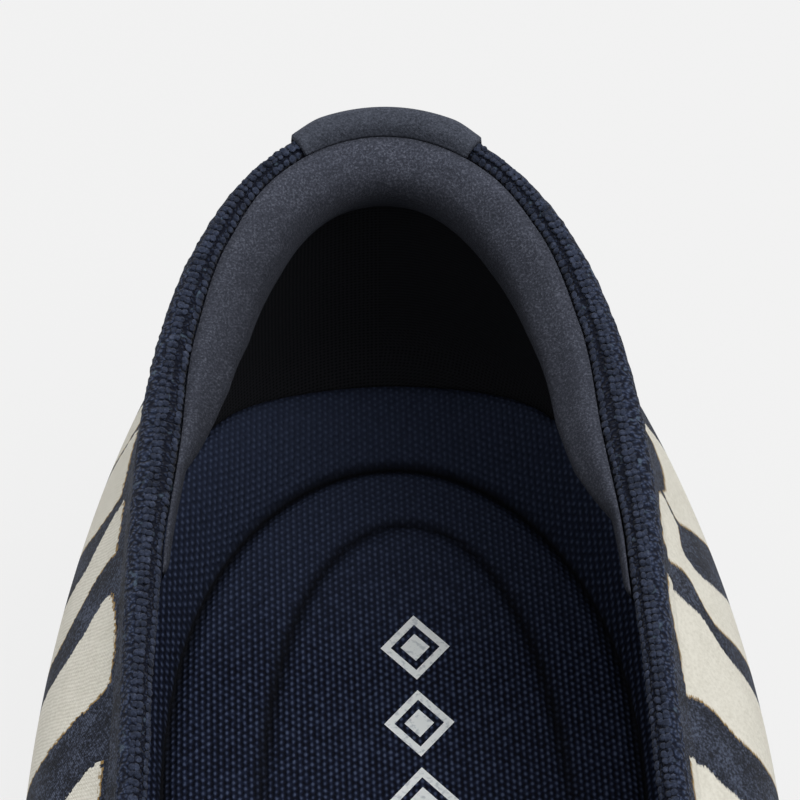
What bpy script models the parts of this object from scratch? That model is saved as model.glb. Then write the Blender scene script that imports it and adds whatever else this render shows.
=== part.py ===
"""Right-foot knitted loafer, EU 38, modelled at full size.

Metres, +Z up, standing on its heel and forefoot at Z = 0. The heel points to +Y and the toe to -Y,
so the wearer's right is at -X. The origin is under the middle of the shoe.

Sizes are in millimetres. `s` is the distance from the back of the heel towards the toe. A loop is a
closed plan curve round the shoe; `level` climbs from the feather line (0), where the upper meets the
sole, to the collar edge (1).
"""

from collections import namedtuple

import bmesh
import bpy
import numpy as np

MM = 0.001
LENGTH = 252.0          # sole, heel to toe
GAP = 0.3               # between touching pieces
COLUMNS = 96            # facets round the shoe
BODY_X = -2.45          # shifts the widest part's middle onto the origin
LAST_START = 20.0       # s where the last begins to swing inwards
LAST_SWING = 7.0        # how far the toe swings to the inner side
LAST_BOW = 1.5          # how far the waist bows to the outer side
FAN_START = 70.0        # s behind which every loop keeps the same stations
FAN_POWER = 1.45        # how late the higher loops fall back from the toe

# Shares of the half loop, heel to toe, at which the loops' widths and heights are given.
STATION = {"end": 0.0, "heel": 0.22, "quarter": 0.38, "waist": 0.50, "ball": 0.64, "toe": 0.82, "tip": 1.0}
OUTER_SIDE = (1.0, 1.0, 1.02, 1.04, 1.03, 1.0, 1.0)     # share of the half width at each station
INNER_SIDE = (1.0, 1.0, 1.0, 0.96, 0.98, 1.0, 1.0)

Loop = namedtuple(
    "Loop", "level heel_s toe_s heel_r heel quarter waist ball toe toe_r "
    "z_end z_heel z_quarter z_waist z_ball z_tip")
UPPER = (
    Loop(0.00, 3.5, 247.5, 24.0, 25.0, 29.0, 32.5, 38.4, 29.5, 24.0, 16.0, 15.6, 13.6, 10.8, 7.3, 12.5),
    Loop(0.14, 1.0, 250.5, 24.5, 27.5, 33.8, 36.6, 41.2, 31.4, 25.0, 27.0, 26.2, 22.5, 18.5, 15.0, 18.5),
    Loop(0.32, 1.0, 246.0, 23.3, 28.1, 36.2, 38.2, 40.8, 29.6, 24.0, 38.0, 36.6, 31.5, 27.0, 25.0, 28.0),
    Loop(0.52, 2.2, 227.0, 19.5, 27.8, 36.9, 36.2, 37.0, 25.6, 22.0, 49.0, 46.7, 40.8, 36.0, 36.6, 37.5),
    Loop(0.74, 4.0, 193.0, 15.5, 23.7, 33.4, 32.2, 29.6, 20.4, 18.0, 60.0, 56.3, 49.5, 44.0, 47.0, 49.5),
    Loop(0.91, 5.6, 165.0, 14.6, 23.7, 27.4, 28.7, 24.6, 16.2, 15.0, 67.2, 62.6, 55.8, 50.5, 54.4, 60.5),
    Loop(1.00, 6.3, 156.0, 16.2, 23.5, 26.6, 27.4, 22.6, 14.4, 13.0, 70.3, 65.8, 58.6, 53.0, 57.2, 64.5),
)
FEATHER = UPPER[0]

# The knitted wall's two faces, by the distance below the collar's edge and their depth from the loops:
# the collar band with its rounded edge, the dip under it, then the plain wall.
Face = namedtuple("Face", "drop depth")
OUTSIDE = (Face(1.5, 0.0), Face(3.6, 0.0), Face(4.5, -0.6), Face(9.0, -0.2), Face(13.0, 0.0))
INSIDE = (Face(1.5, -3.0), Face(1.9, -2.9), Face(2.5, -2.1), Face(6.0, -1.8), Face(13.0, -1.8))
OUTER_SHARES = (0.0, 0.06, 0.13, 0.21, 0.31, 0.42, 0.54, 0.68, 0.84)    # rows below those of OUTSIDE
INNER_SHARES = (0.0, 0.12, 0.26, 0.42, 0.60, 0.80)                      # and below those of INSIDE
CROWN_STEPS = 3         # rings over the collar's rounded edge
LADDER = 240            # steps in which the reference surface is measured

# The sole unit: outline, then its top and bottom along the shoe.
SOLE = Loop(0.0, 0.0, 252.0, 26.0, 27.6, 32.0, 34.8, 41.2, 32.4, 26.0, *[0.0] * 6)
Sole = namedtuple("Sole", "s top bottom")
SOLE_SECTIONS = (
    Sole(0.0, 15.7, 0.0),
    Sole(30.0, 15.3, 0.0),
    Sole(57.0, 14.4, 0.0),
    Sole(60.0, 14.3, 5.6),
    Sole(80.0, 13.3, 6.0),
    Sole(115.0, 11.1, 4.8),
    Sole(140.0, 9.1, 2.3),
    Sole(160.0, 7.8, 0.0),
    Sole(195.0, 7.2, 0.0),
    Sole(215.0, 8.0, 1.6),
    Sole(235.0, 10.1, 4.4),
    Sole(252.0, 12.8, 8.0),
)
SOLE_EDGE = 1.2         # rounding of the sole's edges
SOLE_STEP = 5.0         # spacing of the sole's sections
SOLE_NARROW = 0.3       # sections closer than this are one

# The footbed: its thickness, the heel cup's rim, and the groove at the rim's foot.
BED_THICK = 4.9
GROOVE = Loop(0.0, 12.0, 239.0, 15.5, 24.2, 24.8, 27.0, 35.0, 27.0, 20.0, *[0.0] * 6)
Rim = namedtuple("Rim", "s height depth")
RIM = (
    Rim(0.0, 3.6, 0.8),
    Rim(4.0, 4.3, 0.8),
    Rim(12.0, 8.3, 0.8),
    Rim(20.0, 10.6, 0.8),
    Rim(30.0, 10.2, 0.8),
    Rim(60.0, 5.2, 0.8),
    Rim(95.0, 1.8, 0.5),
    Rim(130.0, 0.0, 0.2),
    Rim(252.0, 0.0, 0.2),
)
RIM_TOP = 1.3           # width of the rim's rounded top
GROOVE_SIDE = 1.6       # width of the groove's inner bank

# The padded collar lining round the heel: from the band's inner edge down `drop`, `thick` at its middle.
Pad = namedtuple("Pad", "s drop thick")
PAD = (
    Pad(0.0, 10.0, 4.4),
    Pad(12.0, 10.4, 4.6),
    Pad(20.0, 11.4, 4.8),
    Pad(30.0, 11.4, 5.0),
    Pad(39.0, 9.4, 4.2),
    Pad(45.0, 6.8, 2.8),
    Pad(51.0, 3.2, 1.4),
    Pad(62.0, 2.2, 1.2),
)
PAD_TOP = 2             # row of INSIDE that the pad hangs from
PAD_EDGE = 0.8          # thickness of the pad's sewn edges
PAD_COLUMNS = 16        # columns to each side of the heel
PAD_STEPS = 6

# The heel tab: a suede patch folded over the collar.
TAB_THICK = 0.9
TAB_COLUMNS = 4         # columns to each side of the heel
TAB_OUTSIDE = 4         # rows of OUTSIDE and INSIDE at which its ends stop
TAB_INSIDE = 1

CREAM_KNIT = ("knit_cream", (0.68, 0.66, 0.57), 0.92)
NAVY_SUEDE = ("suede_navy", (0.045, 0.052, 0.075), 0.95)
NAVY_WEAVE = ("footbed_navy", (0.012, 0.016, 0.028), 0.90)
DARK_RUBBER = ("sole_rubber", (0.020, 0.023, 0.030), 0.65)


def spline(xs, ys, x, flat=False):
    """Cubic through (xs, ys) read at x, with level ends when flat and natural ends otherwise."""
    xs, ys, x = np.asarray(xs, float), np.asarray(ys, float), np.atleast_1d(x)
    count, step = len(xs), np.diff(xs)
    rows = ys.reshape(count, -1)
    slope = np.diff(rows, axis=0) / step[:, None]
    system, right = np.eye(count), np.zeros_like(rows)
    for i in range(1, count - 1):
        system[i, i - 1:i + 2] = step[i - 1], 2 * (step[i - 1] + step[i]), step[i]
        right[i] = 6 * (slope[i] - slope[i - 1])
    if flat:
        system[0, :2], right[0] = (2 * step[0], step[0]), 6 * slope[0]
        system[-1, -2:], right[-1] = (step[-1], 2 * step[-1]), -6 * slope[-1]
    bend = np.linalg.solve(system, right)
    i = np.clip(np.searchsorted(xs, x) - 1, 0, count - 2)
    t, h = (x - xs[i])[:, None], step[i][:, None]
    value = (rows[i] * (1 - t / h) + rows[i + 1] * t / h
             - (bend[i] * (2 * h - t) + bend[i + 1] * (h + t)) * t * (h - t) / (6 * h))
    return value.reshape((len(x),) + ys.shape[1:])


def read(table, column, x):
    """A table's column at x, straight between its rows."""
    return np.interp(x, [row[0] for row in table], [getattr(row, column) for row in table])


def sole_top(s):
    return spline([r.s for r in SOLE_SECTIONS], [r.top for r in SOLE_SECTIONS], s)


def last_centre(s):
    """X of the shoe's curved middle line."""
    t = np.clip((s - LAST_START) / (LENGTH - LAST_START), 0, 1)
    return BODY_X + LAST_SWING * t ** 1.6 - LAST_BOW * np.sin(np.pi * t)


def along(loop, u):
    """s of a loop at share u of its half; higher loops fall back from the toe."""
    s = FEATHER.heel_s + (FEATHER.toe_s - FEATHER.heel_s) * (1 - np.cos(np.pi * u)) / 2
    t = np.clip((s - FAN_START) / (FEATHER.toe_s - FAN_START), 0, 1)
    return s + (loop.heel_s - FEATHER.heel_s) * (1 - t) ** 2 + (loop.toe_s - FEATHER.toe_s) * t ** FAN_POWER


def half_width(loop, u, side):
    """Half width of a loop: its named widths, closed by round ends of its own radii."""
    reach = (FEATHER.toe_s - FEATHER.heel_s) / 2
    rate = 1 + (loop.toe_s - FEATHER.toe_s) * FAN_POWER / (FEATHER.toe_s - FAN_START)
    swell = [np.sqrt(loop.heel_r * reach)]
    swell += [getattr(loop, name) / np.sin(np.pi * STATION[name])
              for name in ("heel", "quarter", "waist", "ball", "toe")]
    swell += [np.sqrt(loop.toe_r * reach * rate)]
    places = list(STATION.values())
    share = spline(places, OUTER_SIDE if side < 0 else INNER_SIDE, u, flat=True)
    return np.sin(np.pi * u) * spline(places, swell, u, flat=True) * share


def loop_height(loop, u):
    places = [STATION[name] for name in ("end", "heel", "quarter", "waist", "ball", "tip")]
    return spline(places, loop[-6:], u, flat=True)


def half_loop(loop, u, side):
    """Points of one side of a loop: side -1 is the wearer's outer side."""
    s = along(loop, u)
    return np.stack([last_centre(s) + side * half_width(loop, u, side), LENGTH / 2 - s,
                     loop_height(loop, u)], axis=-1)


def closed(half):
    """Both sides of a plan curve as one ring: heel, outer side, toe, inner side."""
    outer, inner = half(-1), half(1)
    return np.concatenate([outer, inner[-2:0:-1]])


def column_shares():
    return np.linspace(0, 1, COLUMNS // 2 + 1)


def upper_loops():
    """The upper's named loops as rings of points, seated on the sole at the feather line."""
    u = column_shares()
    rings = np.stack([closed(lambda side, loop=loop: half_loop(loop, u, side)) for loop in UPPER])
    rings[0, :, 2] = sole_top(LENGTH / 2 - rings[0, :, 1]) + GAP
    return rings


class Reference:
    """The surface the wall is built on, measured on a fine ladder of levels in every column."""

    def __init__(self):
        self.levels = np.linspace(0, 1, LADDER + 1)
        self.point = spline([loop.level for loop in UPPER], upper_loops(), self.levels)
        climb = np.gradient(self.point, axis=0)
        around = np.roll(self.point, -1, axis=1) - np.roll(self.point, 1, axis=1)
        normal = np.cross(around, climb)
        self.climb = climb / np.linalg.norm(climb, axis=-1, keepdims=True)
        self.normal = normal / np.linalg.norm(normal, axis=-1, keepdims=True)
        steps = np.linalg.norm(np.diff(self.point, axis=0), axis=-1)
        self.drop = np.zeros(self.point.shape[:2])
        self.drop[:-1] = np.cumsum(steps[::-1], axis=0)[::-1]

    def level_at(self, drop):
        """Each column's level at a distance below the collar's edge."""
        return np.array([np.interp(drop, self.drop[::-1, c], self.levels[::-1])
                         for c in range(COLUMNS)])

    def rows(self, shares, table):
        """Levels of the plain wall's rows, then of the table's rows up to the crown."""
        plain = self.level_at(table[-1].drop)
        return np.stack([plain * share for share in shares]
                        + [self.level_at(row.drop) for row in reversed(table)])

    def read(self, what, levels):
        """One measured quantity at a level per row and column."""
        place = levels * LADDER
        low = np.clip(np.floor(place).astype(int), 0, LADDER - 1)
        part = place - low
        column = np.arange(COLUMNS)
        if what.ndim == 3:
            part = part[..., None]
        return what[low, column] * (1 - part) + what[low + 1, column] * part

    def face(self, shares, table):
        """Rows of points and normals on one face of the wall, sole to crown."""
        levels = self.rows(shares, table)
        drop, normal = self.read(self.drop, levels), self.read(self.normal, levels)
        face = self.read(self.point, levels) + normal * read(table, "depth", drop)[..., None]
        face[0, :, 2] = sole_top(LENGTH / 2 - face[0, :, 1]) + GAP
        return face, normal

    def crown(self):
        """Rings over the collar's rounded edge, outside to inside, and their normals."""
        levels = self.level_at(INSIDE[0].drop)[None]
        point, normal, climb = (self.read(part, levels)[0] for part in (self.point, self.normal, self.climb))
        radius = -INSIDE[0].depth / 2
        turns = np.pi * np.arange(1, CROWN_STEPS + 1) / (CROWN_STEPS + 1)
        way = np.stack([normal * np.cos(turn) + climb * np.sin(turn) for turn in turns])
        return point - normal * radius + way * radius, way


def new_object(name, bm, material):
    """Turns a bmesh in millimetres into a smooth-shaded object with its own material."""
    bmesh.ops.scale(bm, verts=bm.verts, vec=(MM, MM, MM))
    bmesh.ops.recalc_face_normals(bm, faces=bm.faces)
    mesh = bpy.data.meshes.new(name)
    bm.to_mesh(mesh)
    bm.free()
    mesh.shade_smooth()
    mesh.set_sharp_from_angle(angle=np.radians(40))
    label, colour, roughness = material
    surface = bpy.data.materials.get(label) or bpy.data.materials.new(label)
    surface.use_nodes = True
    shader = surface.node_tree.nodes["Principled BSDF"]
    shader.inputs["Base Color"].default_value = (*colour, 1.0)
    shader.inputs["Roughness"].default_value = roughness
    shader.inputs["Metallic"].default_value = 0.0
    mesh.materials.append(surface)
    bpy.context.collection.objects.link(bpy.data.objects.new(name, mesh))


def first_ring(bm, points):
    ring = bmesh.ops.create_circle(bm, segments=len(points), radius=1.0)["verts"]
    for vert, point in zip(ring, points):
        vert.co = point
    return ring


def next_ring(bm, ring, points):
    """Extrudes a closed ring and moves the copy to its points."""
    edges = [bm.edges.get((a, b)) for a, b in zip(ring, ring[1:] + ring[:1])]
    made = bmesh.ops.extrude_edge_only(bm, edges=edges)["geom"]
    lifted = {edge.other_vert(vert): vert for vert in made if isinstance(vert, bmesh.types.BMVert)
              for edge in vert.link_edges if edge.other_vert(vert) in ring}
    copy = [lifted[vert] for vert in ring]
    for vert, point in zip(copy, points):
        vert.co = point
    return copy


def close_across(bm, ring):
    """Closes a ring with bars straight across the shoe, from its heel end to its toe end."""
    half = len(ring) // 2
    for i in range(half):
        bar = [ring[i], ring[i + 1], ring[-i - 1], ring[-i % len(ring)]]
        bm.faces.new(list(dict.fromkeys(bar)))


def lofted(rings, capped):
    """Skins rings of points; capped closes both ends across, otherwise the last meets the first."""
    bm = bmesh.new()
    start = ring = first_ring(bm, rings[0])
    for points in rings[1:]:
        ring = next_ring(bm, ring, points)
    if capped:
        close_across(bm, start)
        close_across(bm, ring)
    else:
        for a, b, c, d in zip(start, start[1:] + start[:1], ring[1:] + ring[:1], ring):
            bm.faces.new((a, b, c, d))
    return bm


def patch(under, over):
    """A closed sheet between two grids of points of the same size."""
    rows = [np.concatenate([low, high[::-1]]) for low, high in zip(under, over)]
    bm = bmesh.new()
    start = ring = first_ring(bm, rows[0])
    for points in rows[1:]:
        ring = next_ring(bm, ring, points)
    for end in (start, ring):
        half = len(end) // 2
        for i in range(half - 1):
            bm.faces.new((end[i], end[i + 1], end[-i - 2], end[-i - 1]))
    return bm


def build_upper(shape):
    """The knitted upper: one wall, open at the collar and underneath, with a thicker collar band."""
    outside, _ = shape.face(OUTER_SHARES, OUTSIDE)
    inside, _ = shape.face(INNER_SHARES, INSIDE)
    top, _ = shape.crown()
    new_object("upper", lofted([*outside, *top, *inside[::-1]], capped=False), CREAM_KNIT)


def build_outsole():
    """The sole unit: a low heel, a raised arch, a flat tread under the ball and toe spring."""
    reach = (SOLE.toe_s - SOLE.heel_s) / 2
    stops = np.arange(SOLE_STEP, LENGTH, SOLE_STEP)
    ends = reach * (1 - np.cos(np.pi * np.linspace(0, 0.14, 7)))
    s = np.unique(np.round(np.concatenate(
        [ends, LENGTH - ends, stops[(stops > ends[-1]) & (stops < LENGTH - ends[-1])],
         [row.s for row in SOLE_SECTIONS]]), 3))
    s = s[np.concatenate([[True], np.diff(s) > SOLE_NARROW])]
    u = np.arccos(np.clip(1 - s / reach, -1, 1)) / np.pi
    top, bottom = sole_top(s), read(SOLE_SECTIONS, "bottom", s)

    def outline(inset, height):
        shrunk = SOLE._replace(**{name: getattr(SOLE, name) - inset for name in
                                  ("heel_r", "heel", "quarter", "waist", "ball", "toe", "toe_r")})
        y = (LENGTH / 2 - s) * (1 - inset / reach)
        return closed(lambda side: np.stack(
            [last_centre(s) + side * half_width(shrunk, u, side), y, height], axis=-1))

    rings = [outline(SOLE_EDGE, bottom), outline(SOLE_EDGE * 0.3, bottom + SOLE_EDGE * 0.3),
             outline(0.0, bottom + SOLE_EDGE), outline(0.0, top - SOLE_EDGE * 0.5),
             outline(SOLE_EDGE * 0.5, top)]
    new_object("outsole", lofted(rings, capped=True), DARK_RUBBER)


def inset_plan(face, normal, distance):
    """Moves a ring inwards on the level."""
    flat = normal.copy()
    flat[:, 2] = 0
    return face - flat / np.linalg.norm(flat, axis=1, keepdims=True) * distance


def at_height(face, normal, height):
    """The wall's inner face at a height, column by column, as points and normals."""
    points, ways = np.empty((COLUMNS, 3)), np.empty((COLUMNS, 3))
    for c in range(COLUMNS):
        for axis in range(3):
            points[c, axis] = np.interp(height[c], face[:, c, 2], face[:, c, axis])
            ways[c, axis] = np.interp(height[c], face[:, c, 2], normal[:, c, axis])
    return points, ways


def build_insole(shape):
    """The footbed: a moulded plate whose rim climbs the upper round the heel, with a groove at its foot."""
    face, normal = shape.face(INNER_SHARES, INSIDE)
    u = column_shares()
    floor = inset_plan(face[0], normal[0], GAP)
    s = LENGTH / 2 - floor[:, 1]
    base = sole_top(s) + GAP
    floor[:, 2] = base
    bed = base + BED_THICK
    rim = bed + read(RIM, "height", s)
    rings = [floor]
    for share in (0.3, 0.65, 1.0):
        point, way = at_height(face, normal, base + (rim - base) * share)
        rings.append(inset_plan(point, way, GAP * 1.2))
    rings[-1][:, 2] -= RIM_TOP * 0.25
    point, way = at_height(face, normal, rim)
    rings.append(inset_plan(point, way, GAP + RIM_TOP * 0.4))
    rings.append(inset_plan(point, way, GAP + RIM_TOP))
    rings[-1][:, 2] -= RIM_TOP * 0.2

    def groove_ring(inset, depth):
        bank = GROOVE._replace(heel_s=GROOVE.heel_s + inset, toe_s=GROOVE.toe_s - inset,
                               **{name: getattr(GROOVE, name) - inset for name in
                                  ("heel_r", "heel", "quarter", "waist", "ball", "toe", "toe_r")})
        ring = closed(lambda side: half_loop(bank, u, side))
        back = LENGTH / 2 - ring[:, 1]
        ring[:, 2] = sole_top(back) + GAP + BED_THICK - depth * read(RIM, "depth", back)
        return ring

    rings += [groove_ring(-GROOVE_SIDE * 0.4, 0.6), groove_ring(0.0, 1.0), groove_ring(GROOVE_SIDE, 0.0)]
    new_object("insole", lofted(rings, capped=True), NAVY_WEAVE)


def near_heel(reach):
    """Columns from the outer side round the heel to the inner side."""
    return np.arange(reach, -reach - 1, -1) % COLUMNS


def build_heel_pad(shape):
    """The padded lining under the collar band, deepest at the heel and running out along the sides."""
    face, normal = shape.face(INNER_SHARES, INSIDE)
    top_row = len(INNER_SHARES) + len(INSIDE) - 1 - PAD_TOP
    under, over = [], []
    for c in near_heel(PAD_COLUMNS):
        line, way = face[top_row::-1, c], normal[top_row::-1, c]
        run = np.concatenate([[0], np.cumsum(np.linalg.norm(np.diff(line, axis=0), axis=1))])
        s = LENGTH / 2 - line[0, 1]
        drop, thick = read(PAD, "drop", s), read(PAD, "thick", s)
        share = np.linspace(0, 1, PAD_STEPS + 1)
        place = 0.3 + share * drop
        point = np.stack([np.interp(place, run, line[:, axis]) for axis in range(3)], axis=-1)
        turn = np.stack([np.interp(place, run, way[:, axis]) for axis in range(3)], axis=-1)
        swell = PAD_EDGE + (thick - PAD_EDGE) * np.sin(np.pi * np.clip(share, 0, 1)) ** 0.7
        under.append(point - turn * GAP)
        over.append(point - turn * (GAP + swell)[:, None])
    new_object("heel_pad", patch(under, over), NAVY_SUEDE)


def build_heel_tab(shape):
    """The suede tab folded over the collar at the back, with its long end outside."""
    (outer, outer_way), (inner, inner_way), (top, top_way) = (
        shape.face(OUTER_SHARES, OUTSIDE), shape.face(INNER_SHARES, INSIDE), shape.crown())
    first = len(OUTER_SHARES) + len(OUTSIDE) - 1 - TAB_OUTSIDE
    last = len(INNER_SHARES) + len(INSIDE) - 1 - TAB_INSIDE
    under, over = [], []
    for c in near_heel(TAB_COLUMNS):
        line = np.concatenate([outer[first:, c], top[:, c], inner[:last - 1:-1, c]])
        way = np.concatenate([outer_way[first:, c], top_way[:, c], -inner_way[:last - 1:-1, c]])
        under.append(line + way * GAP)
        over.append(line + way * (GAP + TAB_THICK))
    new_object("heel_tab", patch(under, over), NAVY_SUEDE)


def main():
    for item in list(bpy.data.objects):
        bpy.data.objects.remove(item)
    shape = Reference()
    build_outsole()
    build_insole(shape)
    build_upper(shape)
    build_heel_pad(shape)
    build_heel_tab(shape)


main()
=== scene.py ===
"""Right-foot knitted loafer, EU 38: its knitted, suede, woven and rubber surfaces over the part's solids.

Sizes are in millimetres unless a name or comment says otherwise, and meshes are scaled to metres at the
end. The heel points to +Y and the toe to -Y, so the wearer's outer side is at -X. `s` is the distance
from the back of the heel towards the toe. A loop is a closed plan curve round the shoe, and `level`
climbs from the feather line (0), where the upper meets the sole, to the collar's edge (1).
"""

import logging
from dataclasses import dataclass, field
from enum import Enum
from typing import Callable, Mapping, NamedTuple, Sequence

import bmesh
import bpy
import numpy as np
from mathutils import Matrix, Vector


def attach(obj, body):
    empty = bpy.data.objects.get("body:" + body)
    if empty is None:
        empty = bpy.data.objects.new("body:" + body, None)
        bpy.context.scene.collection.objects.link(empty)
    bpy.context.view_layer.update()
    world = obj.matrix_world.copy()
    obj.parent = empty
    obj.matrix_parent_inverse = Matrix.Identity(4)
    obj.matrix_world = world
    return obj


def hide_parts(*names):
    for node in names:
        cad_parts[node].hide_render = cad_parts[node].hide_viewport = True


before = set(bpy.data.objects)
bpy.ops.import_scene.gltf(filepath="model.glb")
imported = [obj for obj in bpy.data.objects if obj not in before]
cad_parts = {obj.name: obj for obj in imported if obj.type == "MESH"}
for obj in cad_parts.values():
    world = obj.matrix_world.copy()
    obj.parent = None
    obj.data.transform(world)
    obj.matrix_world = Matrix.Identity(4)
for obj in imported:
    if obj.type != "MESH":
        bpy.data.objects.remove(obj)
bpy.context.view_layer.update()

log = logging.getLogger("loafer")
MM = 0.001
LENGTH = 252.0          # sole, heel to toe
GAP = 0.3               # between touching pieces
Grid = np.ndarray       # points as rows x columns x 3
Numbers = float | np.ndarray
Socket = bpy.types.NodeSocket | bpy.types.Node


class Side(Enum):
    """Which half of the shoe, by the sign of its X."""

    OUTER = -1
    INNER = 1


# ---------------------------------------------------------------- the last: named loops and tables

class Loop(NamedTuple):
    """One plan curve: its ends, end radii, half widths and heights at the named stations."""

    level: float
    heel_s: float
    toe_s: float
    heel_r: float
    heel: float
    quarter: float
    waist: float
    ball: float
    toe: float
    toe_r: float
    z_end: float = 0.0
    z_heel: float = 0.0
    z_quarter: float = 0.0
    z_waist: float = 0.0
    z_ball: float = 0.0
    z_tip: float = 0.0


class Section(NamedTuple):
    """Height of the sole's top at one distance from the heel."""

    s: float
    top: float


class Face(NamedTuple):
    """Depth of a wall face from the loops, at a distance below the collar's edge."""

    drop: float
    depth: float


class Fold(NamedTuple):
    """How much thicker the folded collar edge is at a distance from the heel."""

    s: float
    times: float


STATION = {"end": 0.0, "heel": 0.22, "quarter": 0.38, "waist": 0.50, "ball": 0.64, "toe": 0.82, "tip": 1.0}
WIDTHS = ("heel", "quarter", "waist", "ball", "toe")
HEIGHTS = ("end", "heel", "quarter", "waist", "ball", "tip")
SIDE_SHARE = {
    Side.OUTER: (1.04, 1.0, 1.02, 1.04, 1.03, 1.0, 1.0),
    Side.INNER: (0.99, 1.0, 1.0, 0.96, 0.98, 1.0, 1.0),
}
UPPER = (
    Loop(0.00, 3.5, 247.5, 24.0, 25.0, 29.0, 32.5, 38.4, 29.5, 24.0, 16.0, 15.6, 13.6, 10.8, 7.3, 12.5),
    Loop(0.14, 1.0, 250.5, 24.5, 27.5, 33.8, 36.6, 41.2, 31.4, 25.0, 27.0, 26.2, 22.5, 18.5, 15.0, 18.5),
    Loop(0.32, 1.0, 246.0, 23.3, 28.1, 36.2, 38.2, 40.8, 29.6, 24.0, 38.0, 36.6, 31.5, 27.0, 25.0, 28.0),
    Loop(0.52, 2.2, 227.0, 19.5, 27.8, 36.9, 36.2, 37.0, 25.6, 22.0, 49.0, 46.7, 40.8, 36.0, 36.6, 37.5),
    Loop(0.74, 4.0, 193.0, 15.5, 23.7, 33.4, 32.2, 29.6, 20.4, 18.0, 60.0, 56.3, 49.5, 44.0, 47.0, 49.5),
    Loop(0.91, 5.6, 165.0, 14.6, 23.7, 27.4, 28.7, 24.6, 16.2, 15.0, 67.2, 62.6, 55.8, 50.5, 54.4, 60.5),
    Loop(1.00, 6.3, 156.0, 16.2, 23.5, 26.6, 27.4, 22.6, 14.4, 13.0, 70.3, 65.8, 58.6, 53.0, 57.2, 64.5),
)
FEATHER = UPPER[0]
OUTSIDE = (Face(1.5, 0.0), Face(3.6, 0.0), Face(4.5, -0.6), Face(9.0, -0.2), Face(13.0, 0.0))
INSIDE = (Face(1.5, -3.0), Face(1.9, -2.9), Face(2.5, -2.1), Face(6.0, -1.8), Face(13.0, -1.8))
BAND_FOOT = 3.4         # drop at which the folded edge ends on the inner face
PAD_BACK = (Face(1.5, -3.0), Face(9.0, -2.1), Face(13.0, -2.1))
FOLD = (Fold(0.0, 0.66), Fold(12.0, 0.82), Fold(20.0, 1.0), Fold(32.0, 1.2), Fold(45.0, 1.42),
        Fold(60.0, 1.16), Fold(75.0, 1.0))
SOLE_SECTIONS = (
    Section(0.0, 15.7), Section(30.0, 15.3), Section(57.0, 14.4),
    Section(60.0, 14.3), Section(80.0, 13.3), Section(115.0, 11.1),
    Section(140.0, 9.1), Section(160.0, 7.8), Section(195.0, 7.2),
    Section(215.0, 8.0), Section(235.0, 10.1), Section(252.0, 12.8),
)


def spline(xs: Sequence[float], ys: Sequence, x: Numbers, flat: bool = False) -> np.ndarray:
    """Reads a cubic through given values.

    Args:
        xs: Where the values are given.
        ys: The values, numbers or arrays.
        x: Where to read.
        flat: Level ends when true, natural ends otherwise.

    Returns:
        The values at x.
    """
    xs, ys, x = np.asarray(xs, float), np.asarray(ys, float), np.atleast_1d(x)
    count, step = len(xs), np.diff(xs)
    rows = ys.reshape(count, -1)
    slope = np.diff(rows, axis=0) / step[:, None]
    system, right = np.eye(count), np.zeros_like(rows)
    for i in range(1, count - 1):
        system[i, i - 1:i + 2] = step[i - 1], 2 * (step[i - 1] + step[i]), step[i]
        right[i] = 6 * (slope[i] - slope[i - 1])
    if flat:
        system[0, :2], right[0] = (2 * step[0], step[0]), 6 * slope[0]
        system[-1, -2:], right[-1] = (step[-1], 2 * step[-1]), -6 * slope[-1]
    bend = np.linalg.solve(system, right)
    i = np.clip(np.searchsorted(xs, x) - 1, 0, count - 2)
    t, h = (x - xs[i])[:, None], step[i][:, None]
    value = (rows[i] * (1 - t / h) + rows[i + 1] * t / h
             - (bend[i] * (2 * h - t) + bend[i + 1] * (h + t)) * t * (h - t) / (6 * h))
    return value.reshape((len(x),) + ys.shape[1:])


def read(table: Sequence[NamedTuple], column: str, x: Numbers) -> np.ndarray:
    """Reads a table's column at x, straight between its rows.

    Args:
        table: The rows, each with its place first.
        column: Name of the column.
        x: Where to read it.

    Returns:
        The column's value at each x.
    """
    return np.interp(x, [row[0] for row in table], [getattr(row, column) for row in table])


def ease(x: Numbers, low: float, high: float) -> np.ndarray:
    """Climbs from 0 at low to 1 at high with level ends.

    Args:
        x: The places.
        low: Where the climb starts.
        high: Where it ends.

    Returns:
        Values from 0 to 1.
    """
    t = np.clip((np.asarray(x, float) - low) / (high - low), 0, 1)
    return t * t * (3 - 2 * t)


def read_eased(table: Sequence[NamedTuple], column: str, x: Numbers) -> np.ndarray:
    """Reads a table's column with level steps between its rows, so that no row shows as a crease.

    Args:
        table: The rows, each with its place first.
        column: Name of the column.
        x: Where to read it.

    Returns:
        The column's value at each x.
    """
    value = np.full(np.shape(x), float(getattr(table[0], column)))
    for row, after in zip(table, table[1:]):
        value = value + (getattr(after, column) - getattr(row, column)) * ease(x, row[0], after[0])
    return value


def travelled(line: np.ndarray) -> np.ndarray:
    """Distance along a line of points.

    Args:
        line: The points.

    Returns:
        The distance at each, from 0.
    """
    return np.concatenate([[0], np.cumsum(np.linalg.norm(np.diff(line, axis=0), axis=1))])


def on_line(stops: np.ndarray, run: np.ndarray, line: np.ndarray) -> np.ndarray:
    """Reads points or directions off a line.

    Args:
        stops: Distances at which to read.
        run: Distance of each of the line's points.
        line: The points or directions.

    Returns:
        One row for each stop.
    """
    return np.stack([np.interp(stops, run, line[:, a]) for a in range(3)], axis=-1)


def sole_top(s: Numbers) -> np.ndarray:
    """Height of the sole's upper face.

    Args:
        s: Distances from the heel.

    Returns:
        The heights, in the shape of s.
    """
    tops = spline([r.s for r in SOLE_SECTIONS], [r.top for r in SOLE_SECTIONS], np.ravel(s))
    return tops.reshape(np.shape(s))


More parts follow.
